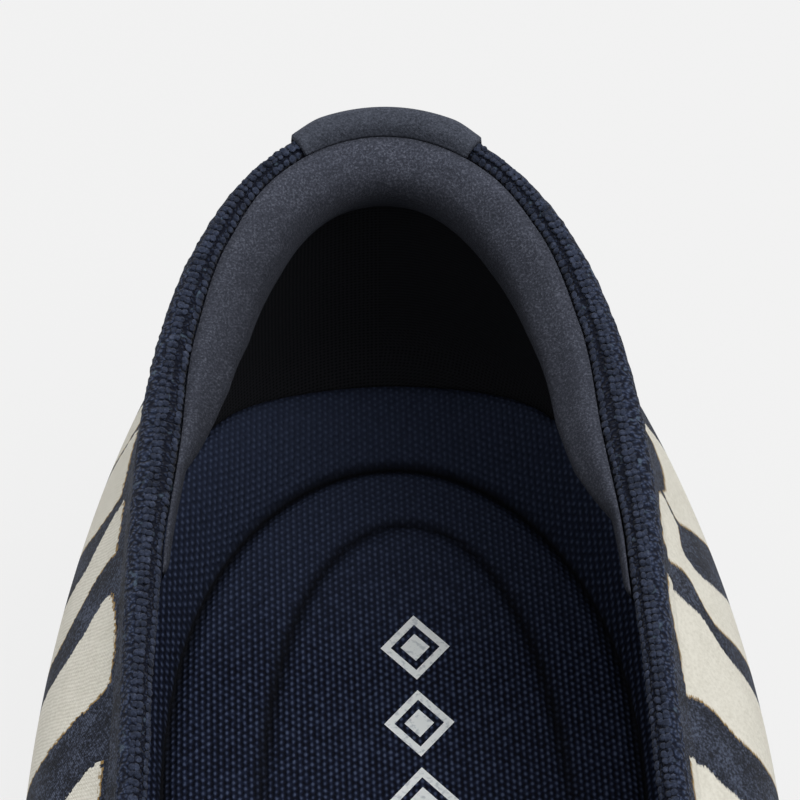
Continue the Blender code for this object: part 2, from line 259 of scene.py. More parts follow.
@dataclass(frozen=True)
class Last:
    """The curves that every piece of the shoe is built on."""

    body_x: float = -2.45       # the middle line's X at the heel
    swing: float = 7.0          # how far the toe swings to the inner side
    bow: float = 1.5            # how far the waist bows to the outer side
    start: float = 20.0         # s where the swing begins
    fan_start: float = 70.0     # s behind which every loop keeps the same stations
    fan_power: float = 1.45     # how late the higher loops fall back from the toe
    lean: float = 0.032         # how far the collar leans in on the inner side of the quarter

    def centre(self, s: Numbers) -> np.ndarray:
        """X of the shoe's curved middle line.

        Args:
            s: Distances from the heel.

        Returns:
            X at each of them.
        """
        t = np.clip((s - self.start) / (LENGTH - self.start), 0, 1)
        return self.body_x + self.swing * t ** 1.6 - self.bow * np.sin(np.pi * t)

    def along(self, loop: Loop, u: Numbers) -> np.ndarray:
        """Distance from the heel at share u of a half loop; higher loops fall back from the toe.

        Args:
            loop: The loop.
            u: Shares of the half loop.

        Returns:
            The distance s at each share.
        """
        s = FEATHER.heel_s + (FEATHER.toe_s - FEATHER.heel_s) * (1 - np.cos(np.pi * u)) / 2
        t = np.clip((s - self.fan_start) / (FEATHER.toe_s - self.fan_start), 0, 1)
        return (s + (loop.heel_s - FEATHER.heel_s) * (1 - t) ** 2
                + (loop.toe_s - FEATHER.toe_s) * t ** self.fan_power)

    def half_width(self, loop: Loop, u: Numbers, side: Side) -> np.ndarray:
        """Half width of a loop: its named widths, closed by round ends of its radii.

        Args:
            loop: The loop.
            u: Shares of the half loop.
            side: The half.

        Returns:
            The half width at each share.
        """
        reach = (FEATHER.toe_s - FEATHER.heel_s) / 2
        rate = 1 + (loop.toe_s - FEATHER.toe_s) * self.fan_power / (FEATHER.toe_s - self.fan_start)
        swell = [np.sqrt(loop.heel_r * reach)]
        swell += [getattr(loop, name) / np.sin(np.pi * STATION[name]) for name in WIDTHS]
        swell += [np.sqrt(loop.toe_r * reach * rate)]
        places = list(STATION.values())
        share = spline(places, SIDE_SHARE[side], u, flat=True)
        if side is Side.INNER:
            share -= self.lean * ease(loop.level, 0.8, 1.0) * np.exp(-((u - 0.36) / 0.1) ** 2)
        return np.sin(np.pi * u) * spline(places, swell, u, flat=True) * share

    def half_loop(self, loop: Loop, u: Numbers, side: Side) -> np.ndarray:
        """Points of one side of a loop, heel to toe.

        Args:
            loop: The loop.
            u: Shares of the half loop.
            side: The half.

        Returns:
            One point for each share.
        """
        s = self.along(loop, u)
        height = spline([STATION[name] for name in HEIGHTS], loop[-6:], u, flat=True)
        return np.stack([self.centre(s) + side.value * self.half_width(loop, u, side),
                         LENGTH / 2 - s, height], axis=-1)

    def ring(self, loop: Loop, u: Numbers) -> np.ndarray:
        """A whole loop: heel, outer side, toe, inner side and the heel again.

        Args:
            loop: The loop.
            u: Shares of the half loop.

        Returns:
            The points, the first and last the same.
        """
        outer, inner = self.half_loop(loop, u, Side.OUTER), self.half_loop(loop, u, Side.INNER)
        return np.concatenate([outer, inner[-2::-1]])


LAST = Last()


def inset(loop: Loop, by: float) -> Loop:
    """A loop drawn in by a distance all round.

    Args:
        loop: The loop.
        by: The distance.

    Returns:
        The smaller loop.
    """
    narrower = {name: getattr(loop, name) - by for name in (*WIDTHS, "heel_r", "toe_r")}
    return loop._replace(heel_s=loop.heel_s + by, toe_s=loop.toe_s - by, **narrower)


class Wall:
    """The surface that the knitted wall is built on, measured on a ladder of levels in every column."""

    def __init__(self, shares: np.ndarray, steps: int = 300) -> None:
        """Measures the surface.

        Args:
            shares: Shares of the half loop at which the columns stand, from 0 to 1.
            steps: Steps of the ladder.
        """
        self.steps = steps
        self.levels = np.linspace(0, 1, steps + 1)
        rings = np.stack([LAST.ring(loop, shares) for loop in UPPER])
        rings[0, :, 2] = sole_top(LENGTH / 2 - rings[0, :, 1]) + GAP
        self.point = spline([loop.level for loop in UPPER], rings, self.levels)
        self.columns = self.point.shape[1]
        climb = np.gradient(self.point, axis=0)
        open_ring = self.point[:, :-1]
        around = np.roll(open_ring, -1, axis=1) - np.roll(open_ring, 1, axis=1)
        around = np.concatenate([around, around[:, :1]], axis=1)
        normal = np.cross(around, climb)
        self.climb = climb / np.linalg.norm(climb, axis=-1, keepdims=True)
        self.normal = normal / np.linalg.norm(normal, axis=-1, keepdims=True)
        rungs = np.linalg.norm(np.diff(self.point, axis=0), axis=-1)
        self.drop = np.zeros(self.point.shape[:2])
        self.drop[:-1] = np.cumsum(rungs[::-1], axis=0)[::-1]
        strides = np.linalg.norm(np.diff(self.point, axis=1), axis=-1)
        self.round = np.concatenate([np.zeros((steps + 1, 1)), np.cumsum(strides, axis=1)], axis=1)
        self.fold = read_eased(FOLD, "times", LENGTH / 2 - self.point[-1, :, 1])

    def level_at(self, drop: Numbers) -> np.ndarray:
        """Each column's level at a distance below the collar's edge.

        Args:
            drop: The distance, one for all columns or one for each.

        Returns:
            One level for each column.
        """
        drop = np.broadcast_to(drop, (self.columns,))
        return np.array([np.interp(drop[c], self.drop[::-1, c], self.levels[::-1])
                         for c in range(self.columns)])

    def read(self, what: np.ndarray, levels: np.ndarray) -> np.ndarray:
        """Reads one measured quantity off the ladder.

        Args:
            what: The quantity, steps x columns.
            levels: Levels, rows x columns.

        Returns:
            Its values, rows x columns.
        """
        place = levels * self.steps
        low = np.clip(np.floor(place).astype(int), 0, self.steps - 1)
        part = place - low
        column = np.arange(self.columns)
        if what.ndim == 3:
            part = part[..., None]
        return what[low, column] * (1 - part) + what[low + 1, column] * part

    def rows(self, drops: Sequence[float], shares: Sequence[float]) -> np.ndarray:
        """Levels of a face's rows, sole to collar: shares of the lower wall, then fixed drops.

        Args:
            drops: Distances below the collar's edge, nearest first.
            shares: Shares of the wall below the last of them.

        Returns:
            Rows x columns of levels.
        """
        plain = self.level_at(drops[-1])
        return np.stack([plain * share for share in shares] + [self.level_at(d) for d in drops[::-1]])

    def face(self, levels: np.ndarray, table: Sequence[Face]) -> tuple[Grid, Grid]:
        """Points and normals on one face of the wall.

        Args:
            levels: Rows x columns of levels.
            table: The face's depths.

        Returns:
            The points and the normals.
        """
        normal = self.read(self.normal, levels)
        drop = self.read(self.drop, levels)
        depth = read_eased(table, "depth", drop)
        if table[0].depth:              # an inner face follows the thickness of the folded edge
            low = BAND_FOOT if table is INSIDE else table[1].drop
            depth = depth * (1 + (self.fold - 1) * (1 - ease(drop, table[0].drop, low)))
        face = self.read(self.point, levels) + normal * depth[..., None]
        if not levels[0].any():     # the foot row stands on the sole
            foot = sole_top(LENGTH / 2 - face[0, :, 1]) + GAP - face[0, :, 2]
            face[..., 2] += foot * ease(drop, 0.9 * drop[0], drop[0])
        return face, normal

    def crown(self, turns: np.ndarray, proud: float = 0.0) -> tuple[Grid, Grid]:
        """Rings over the collar's rounded edge, and their normals.

        Args:
            turns: Angles from the outside (0) over the top to the inside (pi).
            proud: How far the rings stand off the surface.

        Returns:
            Points and normals, one row for each turn.
        """
        levels = self.level_at(INSIDE[0].drop)[None]
        point, normal, climb = (self.read(part, levels)[0] for part in (self.point, self.normal, self.climb))
        radius = (-INSIDE[0].depth / 2 * self.fold)[:, None]
        rise = -INSIDE[0].depth / 2 / radius
        way = np.stack([normal * np.cos(turn) * rise + climb * np.sin(turn) for turn in turns])
        over = np.stack([normal * np.cos(turn) * radius + climb * np.sin(turn) * radius * rise
                         for turn in turns])
        way /= np.linalg.norm(way, axis=-1, keepdims=True)
        return point - normal * radius + over + way * proud, way


# ---------------------------------------------------------------- meshes and shader nodes

def skin(name: str, points: Grid, finishes: Sequence[bpy.types.Material], *,
         band: Callable[[int], int] | None = None, uv: Grid | None = None,
         fields: Mapping[str, np.ndarray] | None = None, close_ends: bool = False) -> bpy.types.Object:
    """Lays a grid over rows of points, welds what meets and adds it to the scene.

    Args:
        name: Name of the piece.
        points: Rows x columns x 3, in millimetres.
        finishes: The piece's materials.
        band: Gives the material of a row of faces.
        uv: Rows x columns x 2 for the texture map, in millimetres.
        fields: Named values for every point.
        close_ends: Fills the open ends.

    Returns:
        The new object.
    """
    rows, columns = points.shape[:2]
    bm = bmesh.new()
    bmesh.ops.create_grid(bm, x_segments=columns - 1, y_segments=rows - 1, size=1.0)
    bm.verts.ensure_lookup_table()
    for vert, point in zip(bm.verts, points.reshape(-1, 3)):
        vert.co = point * MM
    for name_of, values in (fields or {}).items():
        layer = bm.verts.layers.float.new(name_of)
        for vert, value in zip(bm.verts, values.reshape(-1)):
            vert[layer] = value
    flat = None if uv is None else uv.reshape(-1, 2)
    layer = bm.loops.layers.uv.new("cloth") if uv is not None else None
    for i, face in enumerate(bm.faces):
        face.smooth = True
        if band:
            face.material_index = band(i // (columns - 1))
        if layer:
            for corner in face.loops:
                corner[layer].uv = flat[corner.vert.index]
    bmesh.ops.remove_doubles(bm, verts=bm.verts, dist=1e-6)
    if close_ends:
        bmesh.ops.holes_fill(bm, edges=[e for e in bm.edges if e.is_boundary], sides=0)
    bmesh.ops.recalc_face_normals(bm, faces=bm.faces)
    return placed(name, bm, finishes)


def placed(name: str, bm: bmesh.types.BMesh, finishes: Sequence[bpy.types.Material]) -> bpy.types.Object:
    """Turns a finished bmesh in metres into an object of the scene.

    Args:
        name: Name of the piece.
        bm: The bmesh, which is freed.
        finishes: The piece's materials.

    Returns:
        The new object.
    """
    mesh = bpy.data.meshes.new(name)
    bm.to_mesh(mesh)
    bm.free()
    for finish in finishes:
        mesh.materials.append(finish)
    piece = bpy.data.objects.new(name, mesh)
    bpy.context.scene.collection.objects.link(piece)
    log.info("%s: %d faces", name, len(mesh.polygons))
    return piece


def linear(code: str) -> tuple[float, float, float, float]:
    """Turns an sRGB hex colour into linear RGBA.

    Args:
        code: The colour, such as #DBD8CD.

    Returns:
        Red, green, blue and 1.
    """
    parts = [int(code[i:i + 2], 16) / 255 for i in (1, 3, 5)]
    return (*(p / 12.92 if p <= 0.04045 else ((p + 0.055) / 1.055) ** 2.4 for p in parts), 1.0)


def add(tree: bpy.types.NodeTree, kind: str, inputs: Mapping | None = None,
        **settings: object) -> bpy.types.Node:
    """Adds a node with its settings and links.

    Args:
        tree: The node tree.
        kind: The node's type, without its ShaderNode prefix.
        inputs: Socket name or number to a value, a socket, or a node whose first open output is linked.
        **settings: The node's own properties.

    Returns:
        The new node.
    """
    node = tree.nodes.new("ShaderNode" + kind)
    for key, value in settings.items():
        setattr(node, key, value)
    for key, value in (inputs or {}).items():
        socket = (node.inputs[key] if isinstance(key, int)
                  else next(i for i in node.inputs if i.enabled and i.name == key))
        if isinstance(value, bpy.types.Node):
            value = next(o for o in value.outputs if o.enabled)
        if isinstance(value, bpy.types.NodeSocket):
            tree.links.new(value, socket)
        else:
            socket.default_value = value
    return node


def blank(name: str) -> tuple[bpy.types.Material, bpy.types.NodeTree]:
    """A new material whose tree holds nothing yet.

    Args:
        name: Name of the material.

    Returns:
        The material and its tree.
    """
    material = bpy.data.materials.new(name)
    material.use_nodes = True
    tree = material.node_tree
    tree.nodes.clear()
    return material, tree


def surface(tree: bpy.types.NodeTree, inputs: Mapping) -> None:
    """Ends a tree in one principled shader.

    Args:
        tree: The node tree.
        inputs: The shader's sockets, as add takes them.
    """
    shader = add(tree, "BsdfPrincipled", inputs)
    add(tree, "OutputMaterial", {"Surface": shader})


def maths(tree: bpy.types.NodeTree, operation: str, *values: float | Socket) -> bpy.types.Node:
    """Adds a sum.

    Args:
        tree: The node tree.
        operation: Its name.
        *values: What it works on: numbers, sockets or nodes.

    Returns:
        The new node.
    """
    return add(tree, "Math", dict(enumerate(values)), operation=operation)


def remap(tree: bpy.types.NodeTree, value: Socket, low: float = 0.0, high: float = 1.0, *,
          to_low: float = 0.0, to_high: float = 1.0) -> bpy.types.Node:
    """Stretches a range of values onto another.

    Args:
        tree: The node tree.
        value: The value.
        low: Start of its range.
        high: End of its range.
        to_low: What the start becomes.
        to_high: What the end becomes.

    Returns:
        The new node.
    """
    return add(tree, "MapRange", {"Value": value, "From Min": low, "From Max": high, "To Min": to_low,
                                  "To Max": to_high})


def mix(tree: bpy.types.NodeTree, factor: Socket, a: Socket | str, b: Socket | str) -> bpy.types.Node:
    """Mixes two colours.

    Args:
        tree: The node tree.
        factor: Share of the second.
        a: The first, as an sRGB hex code or a node.
        b: The second.

    Returns:
        The new node.
    """
    first, second = (linear(part) if isinstance(part, str) else part for part in (a, b))
    return add(tree, "Mix", {"Factor": factor, "A": first, "B": second}, data_type="RGBA")


def noise(tree: bpy.types.NodeTree, place: Socket, scale: float, detail: float, *,
          roughness: float = 0.5, flat: bool = False) -> bpy.types.Node:
    """Adds soft random mottling.

    Args:
        tree: The node tree.
        place: Where it is read.
        scale: Its scale, per metre on the object and per millimetre on the cloth map.
        detail: How many finer layers it has.
        roughness: How strong they are.
        flat: Works in two dimensions when true, in three otherwise.

    Returns:
        The new node.
    """
    return add(tree, "TexNoise", {"Vector": place, "Scale": scale, "Detail": detail, "Roughness": roughness},
               noise_dimensions="2D" if flat else "3D")


# ---------------------------------------------------------------- finishes

@dataclass(frozen=True)
class KnitJacquard:
    """Two-colour jacquard knit of matte polyester yarn, cream figures on navy.

    Fine upright wales catch the light; where cream ends, the stitches step in and out, and along the edges
    that face the toe a thin tan line of painted shade lies just inside the cream.
    """

    name: str = "knit_jacquard"
    cream: str = "#DBD8CD"
    cream_low: str = "#BFBBAE"
    navy: str = "#2B3140"
    navy_low: str = "#10141E"
    navy_high: str = "#535B6E"
    # painted shade on the cream's toe-ward edges
    edge_shade_tan: str = "#8F7547"
    wale: float = 0.42          # spacing of the stitch columns
    stitch: float = 0.38        # step of the figure's edge
    tooth: float = 0.20         # how far an edge stitch steps out
    turn: float = 0.16          # width of the painted shade line

    def material(self) -> bpy.types.Material:
        """Builds the node tree.

        Returns:
            The material.
        """
        material, t = blank(self.name)
        uv = add(t, "UVMap", uv_map="cloth")
        place = add(t, "TexCoord").outputs["Object"]
        field_ = add(t, "Attribute", attribute_name="figure")
        toward = add(t, "Attribute", attribute_name="toward_toe")
        # Stitch cells: each shifts the figure's edge by its own step.
        cell = add(t, "VectorMath", {0: uv, 1: (self.stitch, self.stitch, 1.0)}, operation="SNAP")
        chance = add(t, "TexWhiteNoise", {"Vector": cell}, noise_dimensions="2D")
        step = remap(t, chance, to_low=-self.tooth, to_high=self.tooth)
        edge = maths(t, "ADD", field_.outputs["Fac"], step)
        cream_mask = remap(t, edge, -0.03, 0.03)
        # Painted shade: a thin tan line lies just inside the cream, on its toe-ward edges.
        inside = remap(t, edge, self.turn, self.turn * 2.2, to_low=1.0, to_high=0.0)
        faces = remap(t, toward.outputs["Fac"], -0.2, 0.2)
        painted_shade_mask = maths(t, "MULTIPLY", inside, faces)
        # Wales run up the shoe; courses cross them.
        split = add(t, "SeparateXYZ", {"Vector": uv})
        sway = noise(t, uv, 0.9, 2.0, flat=True)
        bent = maths(t, "MULTIPLY_ADD", sway, 0.3, split.outputs["X"])
        wave = maths(t, "MULTIPLY", bent, 2 * np.pi / self.wale)
        wales = maths(t, "SINE", wave)
        course = maths(t, "MULTIPLY", split.outputs["Y"], 2 * np.pi / (self.wale * 0.75))
        courses = maths(t, "SINE", course)
        stitches = maths(t, "MULTIPLY", wales, courses)
        fleck = noise(t, place, 2600.0, 3.0, roughness=0.6)
        patch = noise(t, place, 260.0, 4.0, roughness=0.6)
        # Cream yarn.
        cream_lift = maths(t, "MULTIPLY_ADD", wales, 0.13, 0.42)
        cream_tone = maths(t, "MULTIPLY_ADD", fleck, 0.75, cream_lift)
        cream_tone = maths(t, "MULTIPLY_ADD", patch, 0.35, cream_tone)
        cream_t = remap(t, cream_tone, 0.66, 1.15)
        cream = mix(t, cream_t, self.cream_low, self.cream)
        cream = mix(t, painted_shade_mask, cream, self.edge_shade_tan)
        # Navy yarn, flecked dark in the gaps and light on the loops.
        coarse = noise(t, place, 3400.0, 2.0, roughness=0.6)
        marl = maths(t, "MULTIPLY_ADD", patch, 0.5, coarse)
        navy_t = remap(t, marl, 0.64, 0.84)
        navy_a = mix(t, navy_t, self.navy_low, self.navy)
        lit = maths(t, "MULTIPLY_ADD", stitches, 0.12, marl)
        spark = remap(t, lit, 0.80, 0.98, to_high=0.8)
        navy = mix(t, spark, navy_a, self.navy_high)
        colour = mix(t, cream_mask, navy, cream)
        # Relief: stitches, and the cream figures standing a little proud.
        relief = maths(t, "MULTIPLY_ADD", stitches, 0.35, fleck)
        relief = maths(t, "MULTIPLY_ADD", cream_mask, 1.2, relief)
        bump = add(t, "Bump", {"Strength": 0.55, "Distance": 0.00012, "Height": relief})
        surface(t, {"Base Color": colour, "Roughness": 0.88, "Specular IOR Level": 0.18,
                    "Sheen Weight": 0.04, "Sheen Roughness": 0.5, "Normal": bump})
        return material


@dataclass(frozen=True)
class RibKnit:
    """Navy rib knit of the collar band, in plump matte yarn: small loops with dark pits between them."""

    name: str = "knit_rib"
    navy: str = "#222A3D"
    pit: str = "#0A0E1B"
    loop: str = "#3B445A"
    glint: str = "#506070"
    stitch: float = 0.42        # spacing of the small loops

    def material(self) -> bpy.types.Material:
        """Builds the node tree.

        Returns:
            The material.
        """
        material, t = blank(self.name)
        uv = add(t, "UVMap", uv_map="cloth")
        place = add(t, "TexCoord").outputs["Object"]
        sway = noise(t, uv, 1.4, 2.0, flat=True)
        bent = add(t, "VectorMath", {0: sway.outputs["Color"], 1: (0.5, 0.5, 0.0), 2: uv},
                   operation="MULTIPLY_ADD")
        cells = add(t, "TexVoronoi", {"Vector": bent, "Scale": 1 / self.stitch, "Randomness": 1.0,
                                      "Smoothness": 0.6}, voronoi_dimensions="2D", feature="SMOOTH_F1")
        crown = remap(t, cells, 0.10, 0.58, to_low=1.0, to_high=0.0)
        # Painted shade: the hollow field darkens the knit in the grooves beside the raised ribs, and lowers
        # its bump there.
        groove_shade = add(t, "Attribute", attribute_name="hollow")
        crown = maths(t, "MULTIPLY_ADD", groove_shade.outputs["Fac"], -0.7, crown)
        fleck = noise(t, place, 2400.0, 3.0, roughness=0.65)
        tone = maths(t, "MULTIPLY_ADD", fleck, 1.2, crown)
        low = remap(t, tone, 0.55, 1.15)
        high = remap(t, tone, 1.15, 1.6)
        colour = mix(t, low, self.pit, self.navy)
        colour = mix(t, high, colour, self.loop)
        rare = noise(t, place, 900.0, 1.0)
        glint = remap(t, rare, 0.66, 0.74, to_high=0.6)
        colour = mix(t, glint, colour, self.glint)
        bump = add(t, "Bump", {"Strength": 0.8, "Distance": 0.00022, "Height": tone})
        surface(t, {"Base Color": colour, "Roughness": 0.9, "Specular IOR Level": 0.12,
                    "Sheen Weight": 0.06, "Sheen Roughness": 0.5, "Normal": bump})
        return material


@dataclass(frozen=True)
class YarnLoop:
    """The same yarn in the band's two raised ribs, flecked lighter and darker at random."""

    name: str = "knit_rib_loops"
    low: str = "#161B27"
    high: str = "#2F3648"
    wear_and_painted_light: str = "#464D60"

    def material(self) -> bpy.types.Material:
        """Builds the node tree.

        Returns:
            The material.
        """
        material, t = blank(self.name)
        place = add(t, "TexCoord").outputs["Object"]
        fibre = noise(t, place, 3000.0, 3.0, roughness=0.7)
        cloud = noise(t, place, 700.0, 1.0)
        tone = maths(t, "MULTIPLY_ADD", cloud, 0.6, fibre)
        low = remap(t, tone, 0.60, 0.92)
        high = remap(t, tone, 0.90, 1.12)
        colour = mix(t, low, self.low, self.high)
        colour = mix(t, high, colour, self.wear_and_painted_light)
        bump = add(t, "Bump", {"Strength": 0.9, "Distance": 0.00018, "Height": tone})
        surface(t, {"Base Color": colour, "Roughness": 0.9, "Specular IOR Level": 0.12,
                    "Sheen Weight": 0.06, "Sheen Roughness": 0.5, "Normal": bump})
        return material


@dataclass(frozen=True)
class Lining:
    """Thin black-navy mesh lining bonded inside the knit; it swallows what light reaches it."""

    name: str = "mesh_lining"
    thread: str = "#292A2E"
    hole: str = "#16171A"
    pitch: float = 0.5

    def material(self) -> bpy.types.Material:
        """Builds the node tree.

        Returns:
            The material.
        """
        material, t = blank(self.name)
        uv = add(t, "UVMap", uv_map="cloth")
        cells = add(t, "TexVoronoi", {"Vector": uv, "Scale": 1 / self.pitch, "Randomness": 0.15},
                    voronoi_dimensions="2D")
        open_ = remap(t, cells, 0.2, 0.4)
        colour = mix(t, open_, self.hole, self.thread)
        bump = add(t, "Bump", {"Strength": 0.4, "Distance": 0.0001, "Height": open_})
        surface(t, {"Base Color": colour, "Roughness": 0.95, "Specular IOR Level": 0.1, "Normal": bump})
        return material


@dataclass(frozen=True)
class Suede:
    """Brushed microfibre suede: a short nap that mottles and lightens where it is stroked up."""

    name: str = "microsuede"
    navy: str = "#40434E"
    low: str = "#2E3139"
    high: str = "#646875"
    # colour of the painted shade where a roll turns under
    painted_shade: str = "#0A0B0E"
    shade: float = 0.97         # how dark the painted shade gets under the roll
    nap: float = 0.12           # nap clumps

    def material(self) -> bpy.types.Material:
        """Builds the node tree.

        Returns:
            The material.
        """
        material, t = blank(self.name)
        place = add(t, "TexCoord").outputs["Object"]
        nap = noise(t, place, 1000 * 0.5 / self.nap, 4.0, roughness=0.7)
        stroke = add(t, "TexNoise", {"Vector": place, "Scale": 190.0, "Detail": 3.0, "Roughness": 0.55,
                                     "Distortion": 0.6})
        tone = maths(t, "MULTIPLY_ADD", stroke, 0.16, nap)
        low = remap(t, tone, 0.42, 0.60)
        high = remap(t, tone, 0.60, 0.78)
        colour = mix(t, low, self.low, self.navy)
        colour = mix(t, high, colour, self.high)
        # Painted shade: the colour darkens down the roll, towards where it turns under.
        painted_shade_mask = add(t, "Attribute", attribute_name="roll_shade")
        painted_shade = remap(t, painted_shade_mask.outputs["Fac"], 0.08, 1.0)
        painted_shade = maths(t, "POWER", painted_shade, 0.5)
        painted_shade = maths(t, "MULTIPLY", painted_shade, self.shade)
        colour = mix(t, painted_shade, colour, self.painted_shade)
        bump = add(t, "Bump", {"Strength": 0.8, "Distance": 0.00020, "Height": nap})
        surface(t, {"Base Color": colour, "Roughness": 0.95, "Specular IOR Level": 0.12,
                    "Sheen Weight": 0.16, "Sheen Roughness": 0.4,
                    "Sheen Tint": linear("#9AA0B4"), "Normal": bump})
        return material


@dataclass(frozen=True)
class FootbedCloth:
    """Plain-woven navy polyester over foam: raised thread crossings in a chequer, dark gaps between."""

    name: str = "footbed_weave"
    gap: str = "#0A0D19"
    painted_shade: str = "#06070C"       # painted shade in the groove and along the oval's crease
    thread: str = "#1C2338"
    crossing: str = "#465069"
    # painted light over the heel's rim
    wear_and_painted_light: str = "#3A435A"
    pitch: float = 0.65         # from warp thread to warp thread
    beat: float = 0.43          # from weft thread to weft thread

    def material(self) -> bpy.types.Material:
        """Builds the node tree.

        Returns:
            The material.
        """
        material, t = blank(self.name)
        uv = add(t, "UVMap", uv_map="cloth")
        place = add(t, "TexCoord").outputs["Object"]
        split = add(t, "SeparateXYZ", {"Vector": uv})
        warp = maths(t, "MULTIPLY", split.outputs["X"], np.pi / self.pitch)
        warp = maths(t, "COSINE", warp)
        weft = maths(t, "MULTIPLY", split.outputs["Y"], np.pi / self.beat)
        weft = maths(t, "COSINE", weft)
        check = maths(t, "MULTIPLY", warp, weft)
        fleck = noise(t, place, 1500.0, 2.0)
        loose = maths(t, "MULTIPLY_ADD", fleck, 2.2, -1.1)
        tone = maths(t, "MULTIPLY_ADD", check, 0.65, loose)
        # A narrow gap between warp threads keeps the crossings small and round.
        crown = maths(t, "MULTIPLY", warp, warp)
        tone = maths(t, "MULTIPLY_ADD", crown, 1.1, tone)
        low = remap(t, tone, -0.10, 0.90)
        high = remap(t, tone, 0.80, 1.80)
        colour = mix(t, low, self.gap, self.thread)
        colour = mix(t, high, colour, self.crossing)
        # Painted light: the weave over the heel's rim and the bed just before it is lightened.
        behind = add(t, "SeparateXYZ", {"Vector": place}).outputs["Y"]
        wear_and_painted_light = remap(t, behind, 0.085, 0.115, to_high=0.5)
        colour = mix(t, wear_and_painted_light, colour, self.wear_and_painted_light)
        # Painted shade: darker in the groove at the rim's foot and along the oval's crease.
        crease_shade = add(t, "Attribute", attribute_name="crease")
        colour = mix(t, crease_shade.outputs["Fac"], colour, self.painted_shade)
        bump = add(t, "Bump", {"Strength": 0.7, "Distance": 0.00015, "Height": tone})
        surface(t, {"Base Color": colour, "Roughness": 0.85, "Specular IOR Level": 0.12, "Normal": bump})
        return material


@dataclass(frozen=True)
class Rubber:
    """Moulded black-navy rubber: dull, with a fine orange-peel grain from the mould."""

    name: str = "moulded_rubber"
    base: str = "#23262C"
    wear_and_painted_light: str = "#34373E"

    def material(self) -> bpy.types.Material:
        """Builds the node tree.

        Returns:
            The material.
        """
        material, t = blank(self.name)
        place = add(t, "TexCoord").outputs["Object"]
        grain = noise(t, place, 1800.0, 3.0)
        cloud = noise(t, place, 60.0, 4.0, roughness=0.6)
        tone = remap(t, cloud, 0.35, 0.75)
        colour = mix(t, tone, self.base, self.wear_and_painted_light)
        rough = remap(t, cloud, 0.3, 0.8, to_low=0.55, to_high=0.75)
        bump = add(t, "Bump", {"Strength": 0.35, "Distance": 0.00008, "Height": grain})
        surface(t, {"Base Color": colour, "Roughness": rough, "Specular IOR Level": 0.4, "Normal": bump})
        return material


@dataclass(frozen=True)
class Ink:
    """White screen-printing ink, thin enough for the weave under it to show as faint pits."""

    name: str = "white_print"
    white: str = "#EDF1F1"
    pit: str = "#C9CFD3"

    def material(self) -> bpy.types.Material:
        """Builds the node tree.

        Returns:
            The material.
        """
        material, t = blank(self.name)
        place = add(t, "TexCoord").outputs["Object"]
        fleck = noise(t, place, 1700.0, 2.0)
        tone = remap(t, fleck, 0.32, 0.48)
        colour = mix(t, tone, self.pit, self.white)
        bump = add(t, "Bump", {"Strength": 0.3, "Distance": 0.00005, "Height": fleck})
        surface(t, {"Base Color": colour, "Roughness": 0.7, "Normal": bump})
        return material


# ---------------------------------------------------------------- the zebra figure

class Stop(NamedTuple):
    """One point of a dark stripe: where it is, its middle and its width."""

    at: float
    middle: float
    width: float


Stripe = tuple[Stop, ...]

# Side stripes: `at` is the level, and `middle` runs round the wall from the back, so that it reads as s
# beside the collar. Negative widths run a stripe out to a point.
OUTER_STRIPES: tuple[Stripe, ...] = (
    (Stop(0, -15, 13), Stop(.3, -15, 11), Stop(.6, -13, 9), Stop(.8, -9, 5), Stop(1, -7, 2)),
    (Stop(0, 0, 6), Stop(.25, 0, 6.5), Stop(.5, 1, 5.5), Stop(.75, 4, 4.5), Stop(1, 7, 4)),
    (Stop(0, 7, -4), Stop(.12, 8, -1), Stop(.3, 11, 4), Stop(.5, 14, 5.5), Stop(.8, 17, 5),
     Stop(1, 19, 3.5)),
    (Stop(0, 21, 7), Stop(.2, 22, 6), Stop(.5, 24, 6), Stop(.8, 27, 5), Stop(1, 29, 4)),
    (Stop(0, 37, 5), Stop(.3, 38.5, 4.5), Stop(.5, 36.5, 2), Stop(.6, 34.6, .5), Stop(.637, 33.4, .8),
     Stop(.667, 33, 1.8), Stop(.75, 35, 5), Stop(1, 37, 8)),
    (Stop(0, 50, 6), Stop(.3, 50, 6.5), Stop(.577, 49.5, 6.4), Stop(.626, 49.4, 5.5),
     Stop(.657, 49, 5.3), Stop(.674, 48.3, 4.3), Stop(.69, 47.6, 3.3), Stop(.72, 46.1, 2.2),
     Stop(.77, 45, 2.8), Stop(1, 45, 3)),
    (Stop(0, 66, 7), Stop(.3, 65, 6), Stop(.634, 62.6, 4.4), Stop(.66, 62, 5.2), Stop(.7, 60.7, 6.3),
     Stop(.725, 59.4, 7.1), Stop(.746, 58.3, 7), Stop(.785, 57, 5.5), Stop(.82, 56.5, 4.7),
     Stop(1, 56.4, 4.4)),
    (Stop(0, 84, 9), Stop(.3, 82, 9), Stop(.67, 79, 8.3), Stop(.74, 77.8, 8.4), Stop(.777, 76.7, 8.5),
     Stop(.8, 76, 7.7), Stop(.83, 75.1, 7.5), Stop(.86, 74.4, 8.4), Stop(1, 74.4, 8.4)),
    (Stop(0, 104, 8), Stop(.3, 101, 7.5), Stop(.6, 97, 6), Stop(.78, 95, 5), Stop(.88, 94, 4),
     Stop(1, 93, 3)),
    (Stop(0, 122, 7), Stop(.4, 116, 6), Stop(.69, 112, 6), Stop(.88, 108, 8), Stop(1, 108, 9)),
    (Stop(0, 142, 8), Stop(.4, 135, 7), Stop(.69, 130, 6), Stop(.88, 124, 4), Stop(1, 123, 3)),
)
